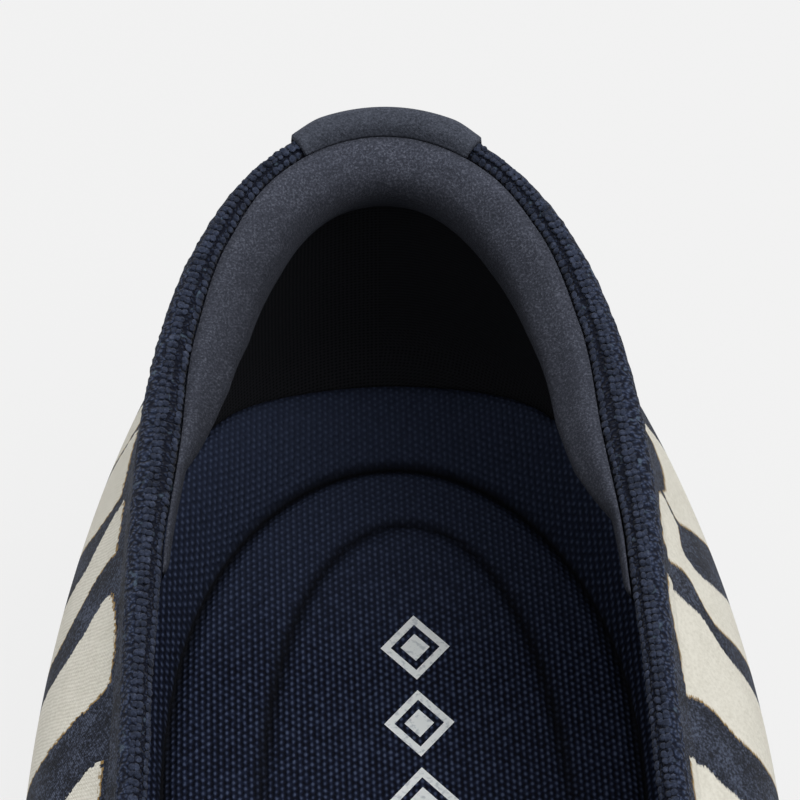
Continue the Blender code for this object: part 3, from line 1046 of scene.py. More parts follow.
INNER_STRIPES: tuple[Stripe, ...] = (
    (Stop(0, -15, 13), Stop(.3, -15, 11), Stop(.6, -13, 9), Stop(.8, -9, 5), Stop(1, -7, 2)),
    (Stop(0, 2, 5), Stop(.3, 2, 5), Stop(.55, 4, 6), Stop(.8, 7, 5), Stop(1, 10, 3)),
    (Stop(0, 15, 7), Stop(.35, 16, 6), Stop(.6, 18, 4), Stop(.78, 21, 1.5), Stop(.9, 23, -1),
     Stop(1, 24, -2)),
    (Stop(0, 33, 6), Stop(.3, 33, 7), Stop(.6, 32, 5.5), Stop(.74, 32, 5), Stop(.83, 33, 5),
     Stop(1, 34, 6)),
    (Stop(0, 50, 8), Stop(.3, 51, 8), Stop(.57, 51.8, 7), Stop(.653, 53.2, 6.9), Stop(.717, 53.9, 6.5),
     Stop(.747, 53.9, 5.8), Stop(.765, 54.1, 4), Stop(.78, 55.4, .2), Stop(.8, 56, -2),
     Stop(1, 56, -6)),
    (Stop(0, 55, -8), Stop(.72, 53, -1.5), Stop(.74, 52.2, 1.2), Stop(.755, 51, 1.5),
     Stop(.773, 49.4, 1.5), Stop(.79, 47.8, 1.8), Stop(.82, 46, 2.5), Stop(1, 44, 4)),
    (Stop(0, 68, 7), Stop(.3, 67, 6), Stop(.66, 65.7, 3.9), Stop(.72, 65.3, 3.2), Stop(.745, 64.4, 2.8),
     Stop(.76, 63.2, 2.6), Stop(.78, 61.4, 3.6), Stop(.8, 60.7, 4.4), Stop(.83, 60.4, 4),
     Stop(.86, 60.2, 3.4), Stop(1, 60.2, 4)),
    (Stop(0, 86, 8), Stop(.3, 84.5, 8.5), Stop(.67, 81.5, 7), Stop(.735, 80.7, 7),
     Stop(.765, 80.2, 7.2), Stop(.79, 79.4, 7.8), Stop(.818, 78.5, 8.2), Stop(.85, 77.6, 7.3),
     Stop(.9, 78.2, 7), Stop(1, 79, 7.8)),
    (Stop(0, 101, 6), Stop(.35, 100, 7), Stop(.7, 97, 6), Stop(.88, 95, 4.5), Stop(1, 94, 4)),
    (Stop(0, 118, 8), Stop(.4, 115, 5), Stop(.6, 111, 2), Stop(.75, 108, -1), Stop(1, 106, -3)),
    (Stop(0, 139, 7), Stop(.4, 131, 6), Stop(.69, 124, 7), Stop(.88, 118, 6), Stop(1, 116, 5)),
)


class Border(NamedTuple):
    """How far down from the collar the navy border reaches, at one place round the wall."""

    place: float
    drop: float


BORDERS: Mapping[Side, tuple[Border, ...]] = {
    Side.OUTER: (Border(0, 5), Border(20, 6), Border(30, 11), Border(34.3, 13), Border(39.4, 11.6),
                 Border(44, 10.5), Border(46, 9.2), Border(47.5, 8.1), Border(51.4, 7.3),
                 Border(58.9, 6.8), Border(60.5, 6), Border(64, 5.1), Border(67, 4.9), Border(70, 5.3),
                 Border(80, 5.4), Border(150, 5)),
    Side.INNER: (Border(0, 5), Border(25, 7), Border(38, 13), Border(41.7, 12), Border(43.7, 11.3),
                 Border(46.8, 9.7), Border(48.5, 7.5), Border(50.5, 5), Border(53, 3), Border(58, 2.2),
                 Border(66, 2), Border(70, 3.2), Border(76, 3.7), Border(82, 2.6), Border(90, 2.7),
                 Border(110, 4), Border(150, 5)),
}
# Stripes over the foot: `at` is the distance from the middle line, and `middle` is s.
FRONT_STRIPES: tuple[Stripe, ...] = (
    (Stop(-42, 157, 7), Stop(-24, 162, 6), Stop(-6, 169, 8), Stop(8, 169, 6), Stop(24, 162, 7),
     Stop(42, 154, 7)),
    (Stop(-42, 176, 6), Stop(-26, 181, 7), Stop(-8, 188, 6), Stop(6, 189, 8), Stop(22, 183, 6),
     Stop(42, 172, 7)),
    (Stop(-42, 194, 7), Stop(-26, 199, 6), Stop(-8, 206, 8), Stop(8, 206, 6), Stop(24, 200, 7),
     Stop(42, 189, 7)),
    (Stop(-42, 208, 5), Stop(-28, 214, 6), Stop(-12, 221, 6), Stop(2, 224, 7), Stop(16, 220, 6),
     Stop(30, 214, 6), Stop(42, 205, 6)),
    (Stop(-32, 228, 4), Stop(-16, 237, 6), Stop(0, 241, 6), Stop(16, 238, 5), Stop(32, 230, 6)),
)


def stripe_field(stripes: Sequence[Stripe], at: Grid, place: Grid, soften: float) -> tuple[Grid, Grid]:
    """Distance to the nearest stripe's edge, and which way that stripe lies.

    Args:
        stripes: The stripes.
        at: Where each point is along the stripes.
        place: Where each point is across them.
        soften: How far along a stripe its corners are rounded.

    Returns:
        The distance, negative inside a stripe, and 1 or -1 where the stripe lies toe-ward or heel-ward.
    """
    nearest, toward = np.full(at.shape, 1e3), np.ones(at.shape)
    for stripe in stripes:
        keys = [stop.at for stop in stripe]
        shift = [np.interp(at + k * soften, keys, [s.middle for s in stripe]) for k in (-1, -.5, 0, .5, 1)]
        width = [np.interp(at + k * soften, keys, [s.width for s in stripe]) for k in (-1, -.5, 0, .5, 1)]
        middle, half = np.mean(shift, axis=0), np.mean(width, axis=0) / 2
        distance = np.abs(place - middle) - half
        toward = np.where(distance < nearest, np.where(place < middle, 1.0, -1.0), toward)
        nearest = np.minimum(nearest, distance)
    return nearest, toward


# ---------------------------------------------------------------- pieces

def finely(stretches: Sequence[tuple[float, float, float]], rest: float) -> np.ndarray:
    """Shares of the half loop whose spacing suits each stretch of the wall.

    Args:
        stretches: From s, to s and spacing of the finer stretches.
        rest: Spacing elsewhere.

    Returns:
        Shares from 0 to 1.
    """
    u = np.linspace(0, 1, 4001)
    line = LAST.half_loop(UPPER[4], u, Side.OUTER)
    step = np.concatenate([[0], np.linalg.norm(np.diff(line, axis=0), axis=1)])
    s = LENGTH / 2 - line[:, 1]
    spacing = np.full(len(u), rest)
    for low, high, fine in stretches:
        spacing = np.where((s >= low) & (s <= high), fine, spacing)
    count = np.cumsum(step / spacing)
    return np.interp(np.linspace(0, count[-1], int(round(count[-1])) + 1), count, u)


@dataclass
class Upper:
    """The knitted upper: one wall with its figure outside, the ribbed collar band and the lining."""

    fine: tuple[float, float, float] = (0.0, 114.0, 0.5)
    plain: float = 1.6                  # spacing of the other columns
    turns: tuple[float, ...] = (0.25, 0.5, 0.75, 1.0, 1.16, 1.3, 1.52, 1.76, 1.94, 2.12, 2.42, 2.72, 2.86,
                                3.0)
    hollows: tuple[float, ...] = (0, 0, 0, 0, 0, 0, .3, .6, 1, .6, .3, .8, 1, .5)    # beside the raised ribs: sunk, and darkened with painted shade
    hollow: float = 0.15                # depth of the grooves beside them
    loose: float = 0.045                # unevenness of the ribbed knit
    band_rows: int = 5                  # rows of the outer face in the band
    lining_rows: int = 4                # rows inside the edge before the lining starts
    anchor: float = 40.0                # s at which the stripes' places are s itself
    front: float = 148.0                # s where the stripes over the foot begin
    side_soften: float = 0.006          # rounding of the side stripes' corners, in levels
    front_soften: float = 8.0           # rounding of the front ones', in millimetres

    def build(self) -> bpy.types.Object:
        """Builds the wall and charts its figure.

        Returns:
            The piece.
        """
        wall = Wall(finely([self.fine], self.plain))
        out_drops = [1.5, 2.2, 2.9, 3.6, 3.9, 4.2, 4.5, 4.9, 5.4, 6.0, *np.arange(6.7, 25.0, 0.75)]
        in_drops = [1.5, 1.7, 1.9, 2.2, 2.5, 3.2, 4.2, 5.4, 7.0, 9.0, 11.0, 13.0]
        out_levels = wall.rows(out_drops, np.linspace(0, 1, 26)[:-1])
        in_levels = wall.rows(in_drops, np.linspace(0, 1, 15)[:-1])
        outside, out_way = wall.face(out_levels, OUTSIDE)
        inside, _ = wall.face(in_levels, INSIDE)
        turns = np.array(self.turns)
        crown, way = wall.crown(turns)
        crown -= way * self.hollow * np.array(self.hollows)[:, None, None]
        chance = np.random.default_rng(5)
        crown += way * chance.normal(0, self.loose, crown.shape[:2])[..., None]
        knit = len(outside) - self.band_rows
        outside[knit:] += out_way[knit:] * chance.normal(0, self.loose, outside[knit:].shape[:2])[..., None]
        points = np.concatenate([outside, crown, inside[::-1], outside[:1]])
        points[:, -1] = points[:, 0]        # the two ends of the ring meet at the heel
        # The cloth map: round the shoe, and down from the collar's edge on either face.
        top = wall.level_at(INSIDE[0].drop)[None]
        out_down, in_down = wall.read(wall.drop, out_levels), wall.read(wall.drop, in_levels)
        over = np.repeat(-turns[:, None] * 1.5 + 1.5, wall.columns, axis=1)
        down = np.concatenate([out_down, over, -0.2 - in_down[::-1] - 1.5, out_down[:1] + 3.0])
        along = np.concatenate([wall.read(wall.round, out_levels),
                                np.repeat(wall.read(wall.round, top), len(turns), axis=0),
                                wall.read(wall.round, in_levels)[::-1],
                                wall.read(wall.round, out_levels[:1])])
        figure, toward = self.figure(wall, out_levels, outside, out_down)
        fill = len(points) - len(outside)
        # The hollow field also paints shade into the rib knit in those grooves.
        hollow = np.zeros(points.shape[:2])
        hollow[len(outside):len(outside) + len(turns)] = np.array(self.hollows)[:, None]
        plain = np.full((fill - 1, wall.columns), -2.0)
        fields = {"figure": np.concatenate([figure, plain, figure[:1]]),
                  "toward_toe": np.concatenate([toward, -plain, toward[:1]]), "hollow": hollow}
        body_rows = len(outside) - 1
        knit_rows = len(outside) + len(turns) + self.lining_rows

        def band_of(row: int) -> int:
            """Picks the material of a row of faces: figure, ribbed band or lining.

            Args:
                row: The row, counted from the sole up the outside.

            Returns:
                The material's index.
            """
            return 0 if row < body_rows else 1 if row < knit_rows else 2

        finishes = [KnitJacquard().material(), RibKnit().material(), Lining().material()]
        piece = skin("knitted_upper", points, finishes, band=band_of,
                     uv=np.stack([along, down], axis=-1), fields=fields)
        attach(piece, "root")
        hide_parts("upper")
        return piece

    def figure(self, wall: Wall, levels: Grid, outside: Grid, drop: Grid) -> tuple[Grid, Grid]:
        """Charts the figure.

        Args:
            wall: The wall.
            levels: Levels of the outer face's rows.
            outside: Its points.
            drop: Their distances below the collar's edge.

        Returns:
            Distance into the cream, and 1 or -1 where the nearest navy lies toe-ward or heel-ward.
        """
        s = LENGTH / 2 - outside[..., 1]
        half = wall.columns // 2
        total = wall.round[:, -1:]
        girth = np.concatenate([wall.round[:, :half + 1], total - wall.round[:, half + 1:]], axis=1)
        ladder_s = LENGTH / 2 - wall.point[..., 1]
        here = wall.read(girth, levels)
        best, way = np.empty(here.shape), np.empty(here.shape)
        for side, stripes, columns in ((Side.OUTER, OUTER_STRIPES, slice(0, half + 1)),
                                       (Side.INNER, INNER_STRIPES, slice(-1, half, -1))):
            start = [np.interp(self.anchor, row_s[columns], row_g[columns])
                     for row_s, row_g in zip(ladder_s, girth)]
            shift = np.interp(levels[:, columns], wall.levels, start)
            place = here[:, columns] - shift + self.anchor
            best[:, columns], way[:, columns] = stripe_field(stripes, levels[:, columns], place,
                                                             self.side_soften)
            edges = BORDERS[side]
            border = drop[:, columns] - np.interp(place, [e.place for e in edges], [e.drop for e in edges])
            way[:, columns] = np.where(border < best[:, columns], 1.0, way[:, columns])
            best[:, columns] = np.minimum(best[:, columns], border)
        front, front_way = stripe_field(FRONT_STRIPES, outside[..., 0] - LAST.centre(s), s,
                                        self.front_soften)
        front = np.where(s > self.front, front, 50.0)
        way = np.where(front < best, front_way, way)
        return np.minimum(best, front), way


@dataclass
class CollarRibs:
    """Two raised ribs of plump stitches round the collar's edge, a groove apart."""

    pitch: float = 0.80                 # from stitch to stitch
    tab: tuple[float, float] = (9.4, 10.9)  # the ribs stop at the heel tab, outer and inner side
    outer_turn: float = 1.52            # where the outer rib sits on the rounded edge
    inner_turn: float = 2.42

    def build(self) -> bpy.types.Object:
        """Builds both ribs as one piece.

        Returns:
            The piece.
        """
        wall = Wall(finely([], 0.8))
        chance = np.random.default_rng(11)
        bm = bmesh.new()
        for turn, legs in ((self.outer_turn, 2), (self.inner_turn, 1)):
            (line,), (way,) = wall.crown(np.array([turn]), proud=0.02)
            stride = travelled(line)
            count = int((stride[-1] - sum(self.tab)) / self.pitch)
            stops = np.linspace(self.tab[0], stride[-1] - self.tab[1], count)
            spot = on_line(stops, stride, line)
            ahead = on_line(stops + 0.4, stride, line) - spot
            out = on_line(stops, stride, way)
            stitches = [[Vector(part) for part in parts] for parts in zip(spot, ahead, out)]
            for first in range(0, count, 12):       # a short run at a time stays quick
                run_of = bmesh.new()
                for place, run, up in stitches[first:first + 12]:
                    self.stitch(run_of, place, run.normalized(), up.normalized(), legs, chance)
                part = bpy.data.meshes.new("run")
                run_of.to_mesh(part)
                run_of.free()
                bm.from_mesh(part)
                bpy.data.meshes.remove(part)
        for face in bm.faces:
            face.smooth = True
        piece = placed("collar_ribs", bm, [YarnLoop().material()])
        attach(piece, "root")
        return piece

    def stitch(self, bm: bmesh.types.BMesh, place: Vector, run: Vector, up: Vector, legs: int,
               chance: np.random.Generator) -> None:
        """Adds one stitch: a single plump loop, or the two legs of a V.

        Args:
            bm: The mesh to add to.
            place: Its middle.
            run: Direction along the collar.
            up: Direction off the surface.
            legs: How many legs it has.
            chance: Source of the small differences from stitch to stitch.
        """
        across = run.cross(up).normalized()
        frame_ = Matrix((run, across, run.cross(across))).transposed().to_4x4()
        for leg in range(legs):
            if legs == 1:
                size, tilt, offset = (0.42, 0.44, 0.17), chance.normal(0, .25), 0.0
            else:
                sign = 1 if leg else -1
                size, tilt, offset = (0.40, 0.35, 0.16), sign * 0.45 + chance.normal(0, .25), sign * 0.26
            size = [part * (1 + chance.normal(0, .13)) for part in size]
            lift = up * chance.normal(0, 0.03)
            spot = (place + across * (offset + chance.normal(0, .04))
                    + run * chance.normal(0, .05) + lift) * MM
            matrix = (Matrix.Translation(spot) @ frame_ @ Matrix.Rotation(tilt, 4, "Z")
                      @ Matrix.Diagonal((*[part * MM for part in size], 1)))
            bmesh.ops.create_uvsphere(bm, u_segments=8, v_segments=5, radius=1.0, matrix=matrix)


def pillow(name: str, under: Grid, over: Grid, finish: bpy.types.Material,
           fields: Mapping[str, np.ndarray] | None = None) -> bpy.types.Object:
    """Builds a closed sheet between two grids that meet along their border.

    Args:
        name: Name of the piece.
        under: Its lower grid.
        over: Its upper grid.
        finish: Its material.
        fields: Named values for every point of the upper grid.

    Returns:
        The new object.
    """
    both = {key: np.concatenate([values, values[::-1]]) for key, values in (fields or {}).items()}
    return skin(name, np.concatenate([over, under[::-1]]), [finish], fields=both)


def rounding(distance: Numbers, radius: float) -> np.ndarray:
    """Rounds a sheet's edge.

    Args:
        distance: Distances from the edge.
        radius: Distance at which the sheet is at its full thickness.

    Returns:
        The share of its thickness that it has at each distance.
    """
    t = np.clip(np.asarray(distance, float) / radius, 0, 1)
    return np.sqrt(np.clip(1 - (1 - t) ** 2, 0, 1))


@dataclass
class HeelTab:
    """The suede tab folded over the collar at the back, its cut edges slightly rounded."""

    reach: Mapping[Side, float] = field(default_factory=lambda: {Side.OUTER: 9.7, Side.INNER: 11.2})
    thick: float = 0.95
    edge: float = 0.55                  # rounding of its edges
    tuck: float = 2.0                   # its inner end thins down to the pad
    out_drop: float = 13.0
    last_turn: float = 2.62             # where it ends on the collar's rounded edge

    def build(self) -> bpy.types.Object:
        """Builds the tab over the wall's outer face and its edge.

        Returns:
            The piece.
        """
        wall = Wall(finely([(0.0, 20.0, 0.35)], 4.0))
        arc = wall.read(wall.round, wall.level_at(INSIDE[0].drop)[None])[0]
        first = int(np.searchsorted(arc, self.reach[Side.OUTER]))
        last = int(np.searchsorted(arc[-1] - arc[::-1], self.reach[Side.INNER]))
        columns = np.arange(first, -last - 1, -1)
        columns = np.where(columns < 0, columns - 1, columns)
        out_drops = np.linspace(OUTSIDE[0].drop, self.out_drop, 24)[::-1]
        out_levels = np.stack([wall.level_at(d) for d in out_drops])
        outer, outer_way = wall.face(out_levels, OUTSIDE)
        turns = np.linspace(0, self.last_turn, 22)[1:]
        crown, crown_way = wall.crown(turns)
        line = np.concatenate([outer, crown])[:, columns]
        way = np.concatenate([outer_way, crown_way])[:, columns]
        side = np.where(columns < 0, arc[columns] - arc[-1], arc[columns])
        from_side = np.minimum(side.max() - side, side - side.min())
        run = travelled(line[:, len(columns) // 2])
        ends = rounding(run, self.edge) * (0.1 + 0.9 * ease(run[-1] - run, 0.0, self.tuck))
        sides = rounding(from_side, self.edge) * (0.5 + 0.5 * ease(from_side, 0.0, 4.0))
        thick = self.thick * sides[None] * ends[:, None]
        piece = pillow("suede_tab", line + way * GAP, line + way * (GAP + thick[..., None]),
                       Suede(name="microsuede_tab", navy="#41454F", high="#565A66").material())
        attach(piece, "root")
        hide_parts("heel_tab")
        return piece


class Roll(NamedTuple):
    """The pad's depth and thickness at one distance from the heel."""

    s: float
    drop: float
    thick: float


@dataclass
class HeelPad:
    """The foam-filled suede roll inside the collar, sewn along both edges and running out as a strip."""

    rolls: Mapping[Side, tuple[Roll, ...]] = field(default_factory=lambda: {
        Side.OUTER: (Roll(0.0, 11.6, 4.3), Roll(10.0, 12.2, 4.6), Roll(20.0, 12.8, 5.1),
                     Roll(30.0, 12.0, 5.3), Roll(37.0, 9.6, 4.5), Roll(41.0, 7.2, 3.3),
                     Roll(45.0, 4.4, 1.9), Roll(48.0, 2.4, 0.8), Roll(60.0, 1.7, 0.6)),
        Side.INNER: (Roll(0.0, 11.6, 4.3), Roll(10.0, 12.2, 4.6), Roll(20.0, 12.9, 5.0),
                     Roll(30.0, 12.5, 5.1), Roll(42.0, 11.0, 4.8), Roll(48.0, 8.6, 3.7),
                     Roll(52.0, 5.4, 2.2), Roll(55.0, 2.8, 0.9), Roll(64.0, 1.7, 0.6))})
    first_turn: float = 2.57            # where it is sewn to the collar's rounded edge
    high: float = 0.66                  # under 1, the roll is fullest above its middle
    full: float = 0.72                  # under 1, it rises steeply from its seams
    dip: float = 1.6                    # the soft valley along its upper seam
    rows: int = 34

    def build(self) -> bpy.types.Object:
        """Builds the roll against the wall's inner face.

        Returns:
            The piece.
        """
        wall = Wall(finely([(0.0, 76.0, 0.6)], 4.0))
        levels = np.stack([wall.level_at(d) for d in np.arange(INSIDE[0].drop, 22.0, 0.4)])
        face, normal = wall.face(levels, PAD_BACK)
        edge, way = wall.crown(np.linspace(self.first_turn, np.pi, 6)[:-1])
        face, normal = np.concatenate([edge, face]), np.concatenate([-way, normal])
        s = LENGTH / 2 - face[0, :, 1]
        half = wall.columns // 2
        first, last = (int(np.searchsorted(s[:half], self.rolls[side][-1].s)) for side in Side)
        columns = np.arange(first, -last - 1, -1)
        columns = np.where(columns < 0, columns - 1, columns)
        share = np.linspace(0, 1, self.rows + 1)
        under, over = [], []
        for c in columns:
            run = travelled(face[:, c])
            rolls = self.rolls[Side.OUTER if c >= 0 else Side.INNER]
            drop, thick = read(rolls, "drop", s[c]), read(rolls, "thick", s[c])
            end = rounding(rolls[-1].s - s[c], 1.5)
            place = 0.15 + share * drop
            point = on_line(place, run, face[:, c])
            way = on_line(place, run, normal[:, c])
            swell = thick * end * np.sin(np.pi * share ** self.high) ** self.full
            swell *= 0.45 + 0.55 * ease(share * drop, -0.5, self.dip)
            under.append(point - way * GAP)
            over.append(point - way * (GAP + swell[:, None]))
        flank = ease(s[columns], 3.0, 25.0)         # painted shade on the roll; on the flanks it starts sooner and runs darker
        painted_shade_mask = share[:, None] * (1 + 1.1 * flank) + 0.1 * flank
        piece = pillow("suede_heel_pad", np.stack(under, axis=1), np.stack(over, axis=1),
                       Suede().material(), {"roll_shade": painted_shade_mask})
        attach(piece, "root")
        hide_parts("heel_pad")
        return piece


class Rim(NamedTuple):
    """Height of the footbed's rim and depth of the groove at its foot."""

    s: float
    height: float
    depth: float


@dataclass
class Footbed:
    """The moulded footbed: a cupped rim, the groove at its foot and a shallow oval under the heel."""

    thick: float = 4.9
    rims: tuple[Rim, ...] = (
        Rim(0.0, 3.6, 0.8), Rim(4.0, 4.3, 0.8), Rim(12.0, 8.3, 0.8), Rim(20.0, 10.6, 0.8),
        Rim(30.0, 10.2, 0.8), Rim(60.0, 5.2, 0.8), Rim(95.0, 1.8, 0.5), Rim(130.0, 0.0, 0.2),
        Rim(252.0, 0.0, 0.2))
    crest: float = 1.5                  # how far in from the wall the rim is highest
    drawn: float = 0.6                  # share of the rim's height by which the weave goes on over it
    groove: Loop = Loop(0.0, 12.0, 239.0, 15.5, 24.2, 24.8, 27.0, 35.0, 27.0, 20.0)
    groove_x: float = 0.8               # how far its heel lies to the inner side
    bank: float = 1.8                   # width of the groove's inner bank
    oval: Loop = Loop(0.0, 20.6, 232.0, 7.0, 15.6, 17.0, 19.5, 24.0, 18.0, 12.0)
    oval_x: float = 2.0
    oval_depth: float = 0.6
    oval_fade: tuple[float, float] = (45.0, 80.0)   # s over which the oval dies away
    spine: tuple[float, float] = (62.0, 205.0)      # s of the line that the bed's rings shrink to

    def bed(self, s: Numbers) -> np.ndarray:
        """Height of the level bed.

        Args:
            s: Distances from the heel.

        Returns:
            The heights.
        """
        return sole_top(s) + GAP + self.thick

    def into_oval(self, x: np.ndarray, s: np.ndarray) -> np.ndarray:
        """How far a place lies inside the oval's edge.

        Args:
            x: X of each place.
            s: Its distance from the heel.

        Returns:
            The distances, negative outside.
        """
        hollow = np.full(np.shape(s), -9.0)
        for side in Side:
            line = LAST.half_loop(self.oval, np.linspace(0, 1, 600) ** 1.3, side)
            line_s = LENGTH / 2 - line[:, 1]
            line, line_s = line[line_s < 90.0], line_s[line_s < 90.0]
            edge = np.interp(s, line_s, side.value * (line[:, 0] - LAST.centre(line_s)), left=-2.0)
            lateral = side.value * (x - LAST.centre(s) - self.oval_x)
            apart = np.hypot(x[..., None] - line[:, 0] - self.oval_x, s[..., None] - line_s).min(axis=-1)
            hollow = np.where(lateral >= 0, np.where(lateral < edge, apart, -apart), hollow)
        return hollow

    def crease(self, x: np.ndarray, s: np.ndarray) -> np.ndarray:
        """How strongly the oval's pressed edge shows at a place: how far it sinks the bed, and how dark its
        painted shade is.

        Args:
            x: X of each place.
            s: Its distance from the heel.

        Returns:
            Values from 0 to 0.9.
        """
        return np.exp(-(self.into_oval(x, s) / 0.8) ** 2) * (1 - ease(s, *self.oval_fade)) * 0.9

    def height(self, x: np.ndarray, s: np.ndarray) -> np.ndarray:
        """Height of the bed inside the groove, with its oval.

        Args:
            x: X of each place.
            s: Its distance from the heel.

        Returns:
            The heights.
        """
        fade = 1 - ease(s, *self.oval_fade)
        low = 0.25 * ease(self.into_oval(x, s), -0.7, 0.2) + 0.75 * self.crease(x, s)
        return self.bed(s) - self.oval_depth * low * fade

    def build(self) -> bpy.types.Object:
        """Builds the footbed from its foot on the sole, up its rim and across.

        Returns:
            The piece.
        """
        shares = finely([(0.0, 110.0, 0.8)], 2.2)
        wall = Wall(shares)
        in_levels = wall.rows([1.5, 1.9, 2.5, 6.0, 13.0], np.linspace(0, 1, 20)[:-1])
        face, normal = wall.face(in_levels, INSIDE)
        flat = normal * (1, 1, 0)
        flat /= np.linalg.norm(flat, axis=-1, keepdims=True)
        floor = face[0] - flat[0] * GAP
        s = LENGTH / 2 - floor[:, 1]
        base = sole_top(s) + GAP
        floor[:, 2] = base
        rim = self.bed(s) + spline([r.s for r in self.rims], [r.height for r in self.rims], s)

        def against(height: np.ndarray, by: float, down: float = 0.0) -> Grid:
            """A ring that follows the wall's inner face.

            Args:
                height: Height at each column.
                by: Distance in from the wall.
                down: How far the ring is lowered afterwards.

            Returns:
                One point for each column.
            """
            ring = np.empty((wall.columns, 3))
            for c in range(wall.columns):
                for a in range(3):
                    ring[c, a] = np.interp(height[c], face[:, c, 2], face[:, c, a])
                    ring[c, a] -= np.interp(height[c], face[:, c, 2], flat[:, c, a]) * by
            ring[:, 2] = height - down
            return ring

        rings = [floor]
        rings += [against(base + (rim - base) * share, GAP * 1.2) for share in np.linspace(0.15, 0.8, 6)]
        rings += [against(rim, GAP * 1.2 + self.crest * (1 - np.cos(turn)), 1.3 * (1 - np.sin(turn)))
                  for turn in np.radians((0, 12, 25, 38, 52, 66, 90))]
        groove = self.ring(shares, 0.0, 1.0)
        top = rings[-1]
        for share in np.linspace(0, 1, 17)[1:-1]:
            ring = top + (groove - top) * share
            full = 1 - np.cos(np.pi / 2 * share)
            ring[:, 2] = top[:, 2] + (groove[:, 2] - top[:, 2]) * (0.2 * share + 0.8 * full)
            rings.append(ring)
        rings.append(groove)
        foot = len(rings)                   # its place once the underside is added
        for share in (0.15, 0.35, 0.6, 0.8, 1.0):
            rings.append(self.ring(shares, self.bank * share, 1 - ease(share, 0.0, 1.0)))
        edge = rings[-1]
        spine_s = np.clip(LENGTH / 2 - edge[:, 1], *self.spine)
        spine = np.stack([LAST.centre(spine_s), LENGTH / 2 - spine_s, self.bed(spine_s)], axis=-1)
        for share in 1 - np.linspace(0, 1, 64)[1:-1]:
            ring = spine + (edge - spine) * share
            ring[:, 2] = self.height(ring[:, 0], LENGTH / 2 - ring[:, 1])
            rings.append(ring)
        last = spine.copy()
        last[:, 2] = self.height(last[:, 0], spine_s)
        rings.append(last)
        points = np.stack(rings)
        bottom = spine.copy()
        bottom[:, 2] = sole_top(spine_s) + GAP
        points = np.concatenate([bottom[None], points])
        # The weave lies straight on the bed and is drawn up over the rim at the heel.
        plan = points[..., :2] - (0, LENGTH / 2)
        back = LENGTH / 2 - points[..., 1]
        out = LAST.ring(self.groove, shares) - LAST.ring(inset(self.groove, 1.0), shares)
        out = out[:, :2] / np.linalg.norm(out[:, :2], axis=-1, keepdims=True)
        climb = np.maximum(points[..., 2] - self.bed(back), 0)
        plan[..., 1] += self.drawn * climb * out[None, :, 1]
        plan[..., 0] += 0.15 * climb * out[None, :, 0]
        # The crease field is painted shade for the cloth: at the groove's floor and along the oval's edge.
        crease = np.zeros(points.shape[:2])
        for row in range(foot - 5, foot + 6):
            apart = np.linalg.norm(points[row] - points[foot], axis=-1)
            crease[row] = (1 - ease(apart, 0.1, 1.7)) * read(self.rims, "depth", back[row]) / 0.8
        crease = np.maximum(crease, self.crease(points[..., 0], back))
        crease[:foot - 5] = 0
        piece = skin("footbed", points, [FootbedCloth().material()], uv=plan, fields={"crease": crease})
        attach(piece, "root")
        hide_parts("insole")
        return piece

    def ring(self, shares: np.ndarray, by: float, depth: float) -> Grid:
        """The groove's outline, drawn in and sunk.

        Args:
            shares: Shares of the half loop at its columns.
            by: How far it is drawn in.
            depth: Share of the groove's depth.

        Returns:
            One point for each column.
        """
        ring = LAST.ring(inset(self.groove, by), shares)
        s = LENGTH / 2 - ring[:, 1]
        ring[:, 0] += self.groove_x * (1 - ease(s, 40.0, 110.0))
        ring[:, 2] = self.bed(s) - depth * read(self.rims, "depth", s)
        return ring


@dataclass
class FootbedPrint:
    """A plain row of white lozenges printed down the middle of the footbed."""

    first: float = 38.2                 # s of the first lozenge
    count: int = 5
    pitch: float = 10.2
    across: float = 3.8                 # half its width
    along: float = 4.4                  # half its length
    line: float = 0.85                  # width of the printed outline
    core: float = 0.42                  # size of the solid lozenge inside it, as a share
    proud: float = 0.05                 # how far the ink stands off the cloth
    x: float = 0.0                      # its middle line

    def build(self, bed: Footbed) -> bpy.types.Object:
        """Builds the print a hair above the cloth.

        Args:
            bed: The footbed that it is printed on.

        Returns:
            The piece.
        """
        bm = bmesh.new()
        for i in range(self.count):
            s = self.first + i * self.pitch
            for scale, solid in ((1.0, False), (self.core, True)):
                place = Matrix.Translation((self.x, LENGTH / 2 - s, 0.0))
                shape = Matrix.Diagonal((self.across * scale, self.along * scale, 1, 1))
                made = bmesh.ops.create_circle(bm, segments=4, radius=1.0, cap_ends=True,
                                               matrix=place @ shape)
                if not solid:
                    faces = list({f for v in made["verts"] for f in v.link_faces})
                    bmesh.ops.inset_region(bm, faces=faces, thickness=self.line, use_boundary=True,
                                           use_even_offset=True)
                    bmesh.ops.delete(bm, geom=faces, context="FACES_ONLY")
        bmesh.ops.subdivide_edges(bm, edges=bm.edges, cuts=3, use_grid_fill=True)
        for vert in bm.verts:
            s = LENGTH / 2 - vert.co.y
            vert.co.z = float(bed.height(np.array([vert.co.x]), np.array([s]))[0]) + self.proud
            vert.co *= MM
        for face in bm.faces:
            face.smooth = True
        bmesh.ops.recalc_face_normals(bm, faces=bm.faces)
        if sum(face.normal.z for face in bm.faces) < 0:
            bmesh.ops.reverse_faces(bm, faces=bm.faces)
        piece = placed("footbed_print", bm, [Ink().material()])
        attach(piece, "root")
        return piece


@dataclass
class SoleUnit:
    """The moulded rubber sole unit."""

    def build(self) -> bpy.types.Object:
        """Dresses the sole unit's own solid.

        Returns:
            The piece.
        """
        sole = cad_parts["outsole"]
        sole.material_slots[0].link = "OBJECT"
        sole.material_slots[0].material = Rubber().material()
        return sole


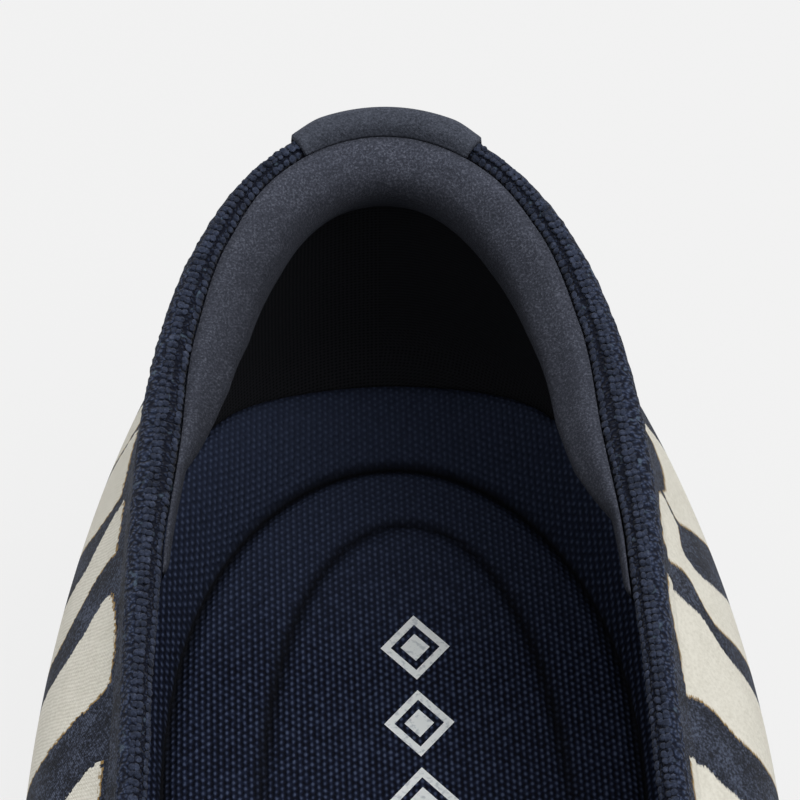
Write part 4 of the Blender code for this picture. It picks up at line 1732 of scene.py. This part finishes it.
@dataclass
class Studio:
    """A pale table, an even room that darkens overhead, and one large soft light above the inner side."""

    pale: float = 0.86                  # the table
    above: float = 1.20                 # the ceiling
    ends: float = 0.14                  # the room ahead of and behind the shoe
    walls: float = 0.02                 # what the walls at both sides add
    tilt: float = 0.12                  # how much brighter the room is behind the heel
    elevation: float = 47.25
    azimuth: float = -2.36
    distance: float = 388.0
    target: tuple[float, float, float] = (-1.07, 102.23, 44.6)
    lens: float = 162.4
    sensor: float = 36.0
    lamp_way: tuple[float, float, float] = (0.42, -0.12, 0.9)
    lamp_far: float = 0.9               # metres
    lamp_size: float = 0.6              # metres
    lamp_power: float = 4.4             # watts

    def build(self) -> None:
        """Builds the floor, the lights and the camera."""
        scene = bpy.context.scene
        scene.view_settings.view_transform = "Standard"
        self.floor()
        world = bpy.data.worlds.new("room")
        scene.world = world
        world.use_nodes = True
        tree = world.node_tree
        tree.nodes.clear()
        way = add(tree, "SeparateXYZ", {"Vector": add(tree, "TexCoord").outputs["Generated"]})
        side = maths(tree, "ABSOLUTE", way.outputs["X"])
        level = remap(tree, way.outputs["Z"], to_low=self.ends, to_high=self.above)
        level = maths(tree, "MULTIPLY_ADD", side, self.walls, level)
        level = maths(tree, "MULTIPLY_ADD", way.outputs["Y"], self.tilt, level)
        level = maths(tree, "MAXIMUM", level, 0.02)
        back = add(tree, "Background", {"Color": level, "Strength": 1.0})
        add(tree, "OutputWorld", {"Surface": back})
        self.softbox()
        camera_data = bpy.data.cameras.new("camera")
        camera_data.sensor_width = self.sensor
        camera_data.lens = self.lens
        camera_data.clip_start, camera_data.clip_end = 0.02, 50.0
        camera = bpy.data.objects.new("camera", camera_data)
        turn, tip = np.radians(self.azimuth), np.radians(self.elevation)
        look = Vector((-np.sin(turn) * np.cos(tip), np.cos(turn) * np.cos(tip), -np.sin(tip)))
        camera.location = (Vector(self.target) - look * self.distance) * MM
        camera.rotation_euler = look.to_track_quat("-Z", "Y").to_euler()
        scene.collection.objects.link(camera)
        scene.camera = camera

    def softbox(self) -> None:
        """Adds a square soft light that faces the shoe."""
        data = bpy.data.lights.new("softbox", "AREA")
        data.shape, data.size, data.energy = "SQUARE", self.lamp_size, self.lamp_power
        light = bpy.data.objects.new("softbox", data)
        direction = Vector(self.lamp_way).normalized()
        light.location = direction * self.lamp_far + Vector((0, 0.05, 0))
        light.rotation_euler = (-direction).to_track_quat("-Z", "Y").to_euler()
        bpy.context.scene.collection.objects.link(light)

    def floor(self) -> None:
        """Adds the table: almost its own light, so that it stays one even pale grey."""
        bm = bmesh.new()
        bmesh.ops.create_circle(bm, cap_ends=True, segments=64, radius=6.0)
        material, tree = blank("pale_table")
        surface(tree, {"Base Color": (0.06, 0.06, 0.06, 1.0), "Roughness": 0.9, "Specular IOR Level": 0.0,
                       "Emission Color": (1.0, 1.0, 1.0, 1.0), "Emission Strength": self.pale - 0.05})
        placed("table", bm, [material])


def main() -> None:
    """Builds the shoe piece by piece, then the studio, and writes down how much room it takes."""
    logging.basicConfig(level=logging.INFO, format="%(message)s")
    SoleUnit().build()
    bed = Footbed()
    bed.build()
    FootbedPrint().build(bed)
    Upper().build()
    CollarRibs().build()
    HeelPad().build()
    HeelTab().build()
    Studio().build()


if __name__ == "__main__":
    main()
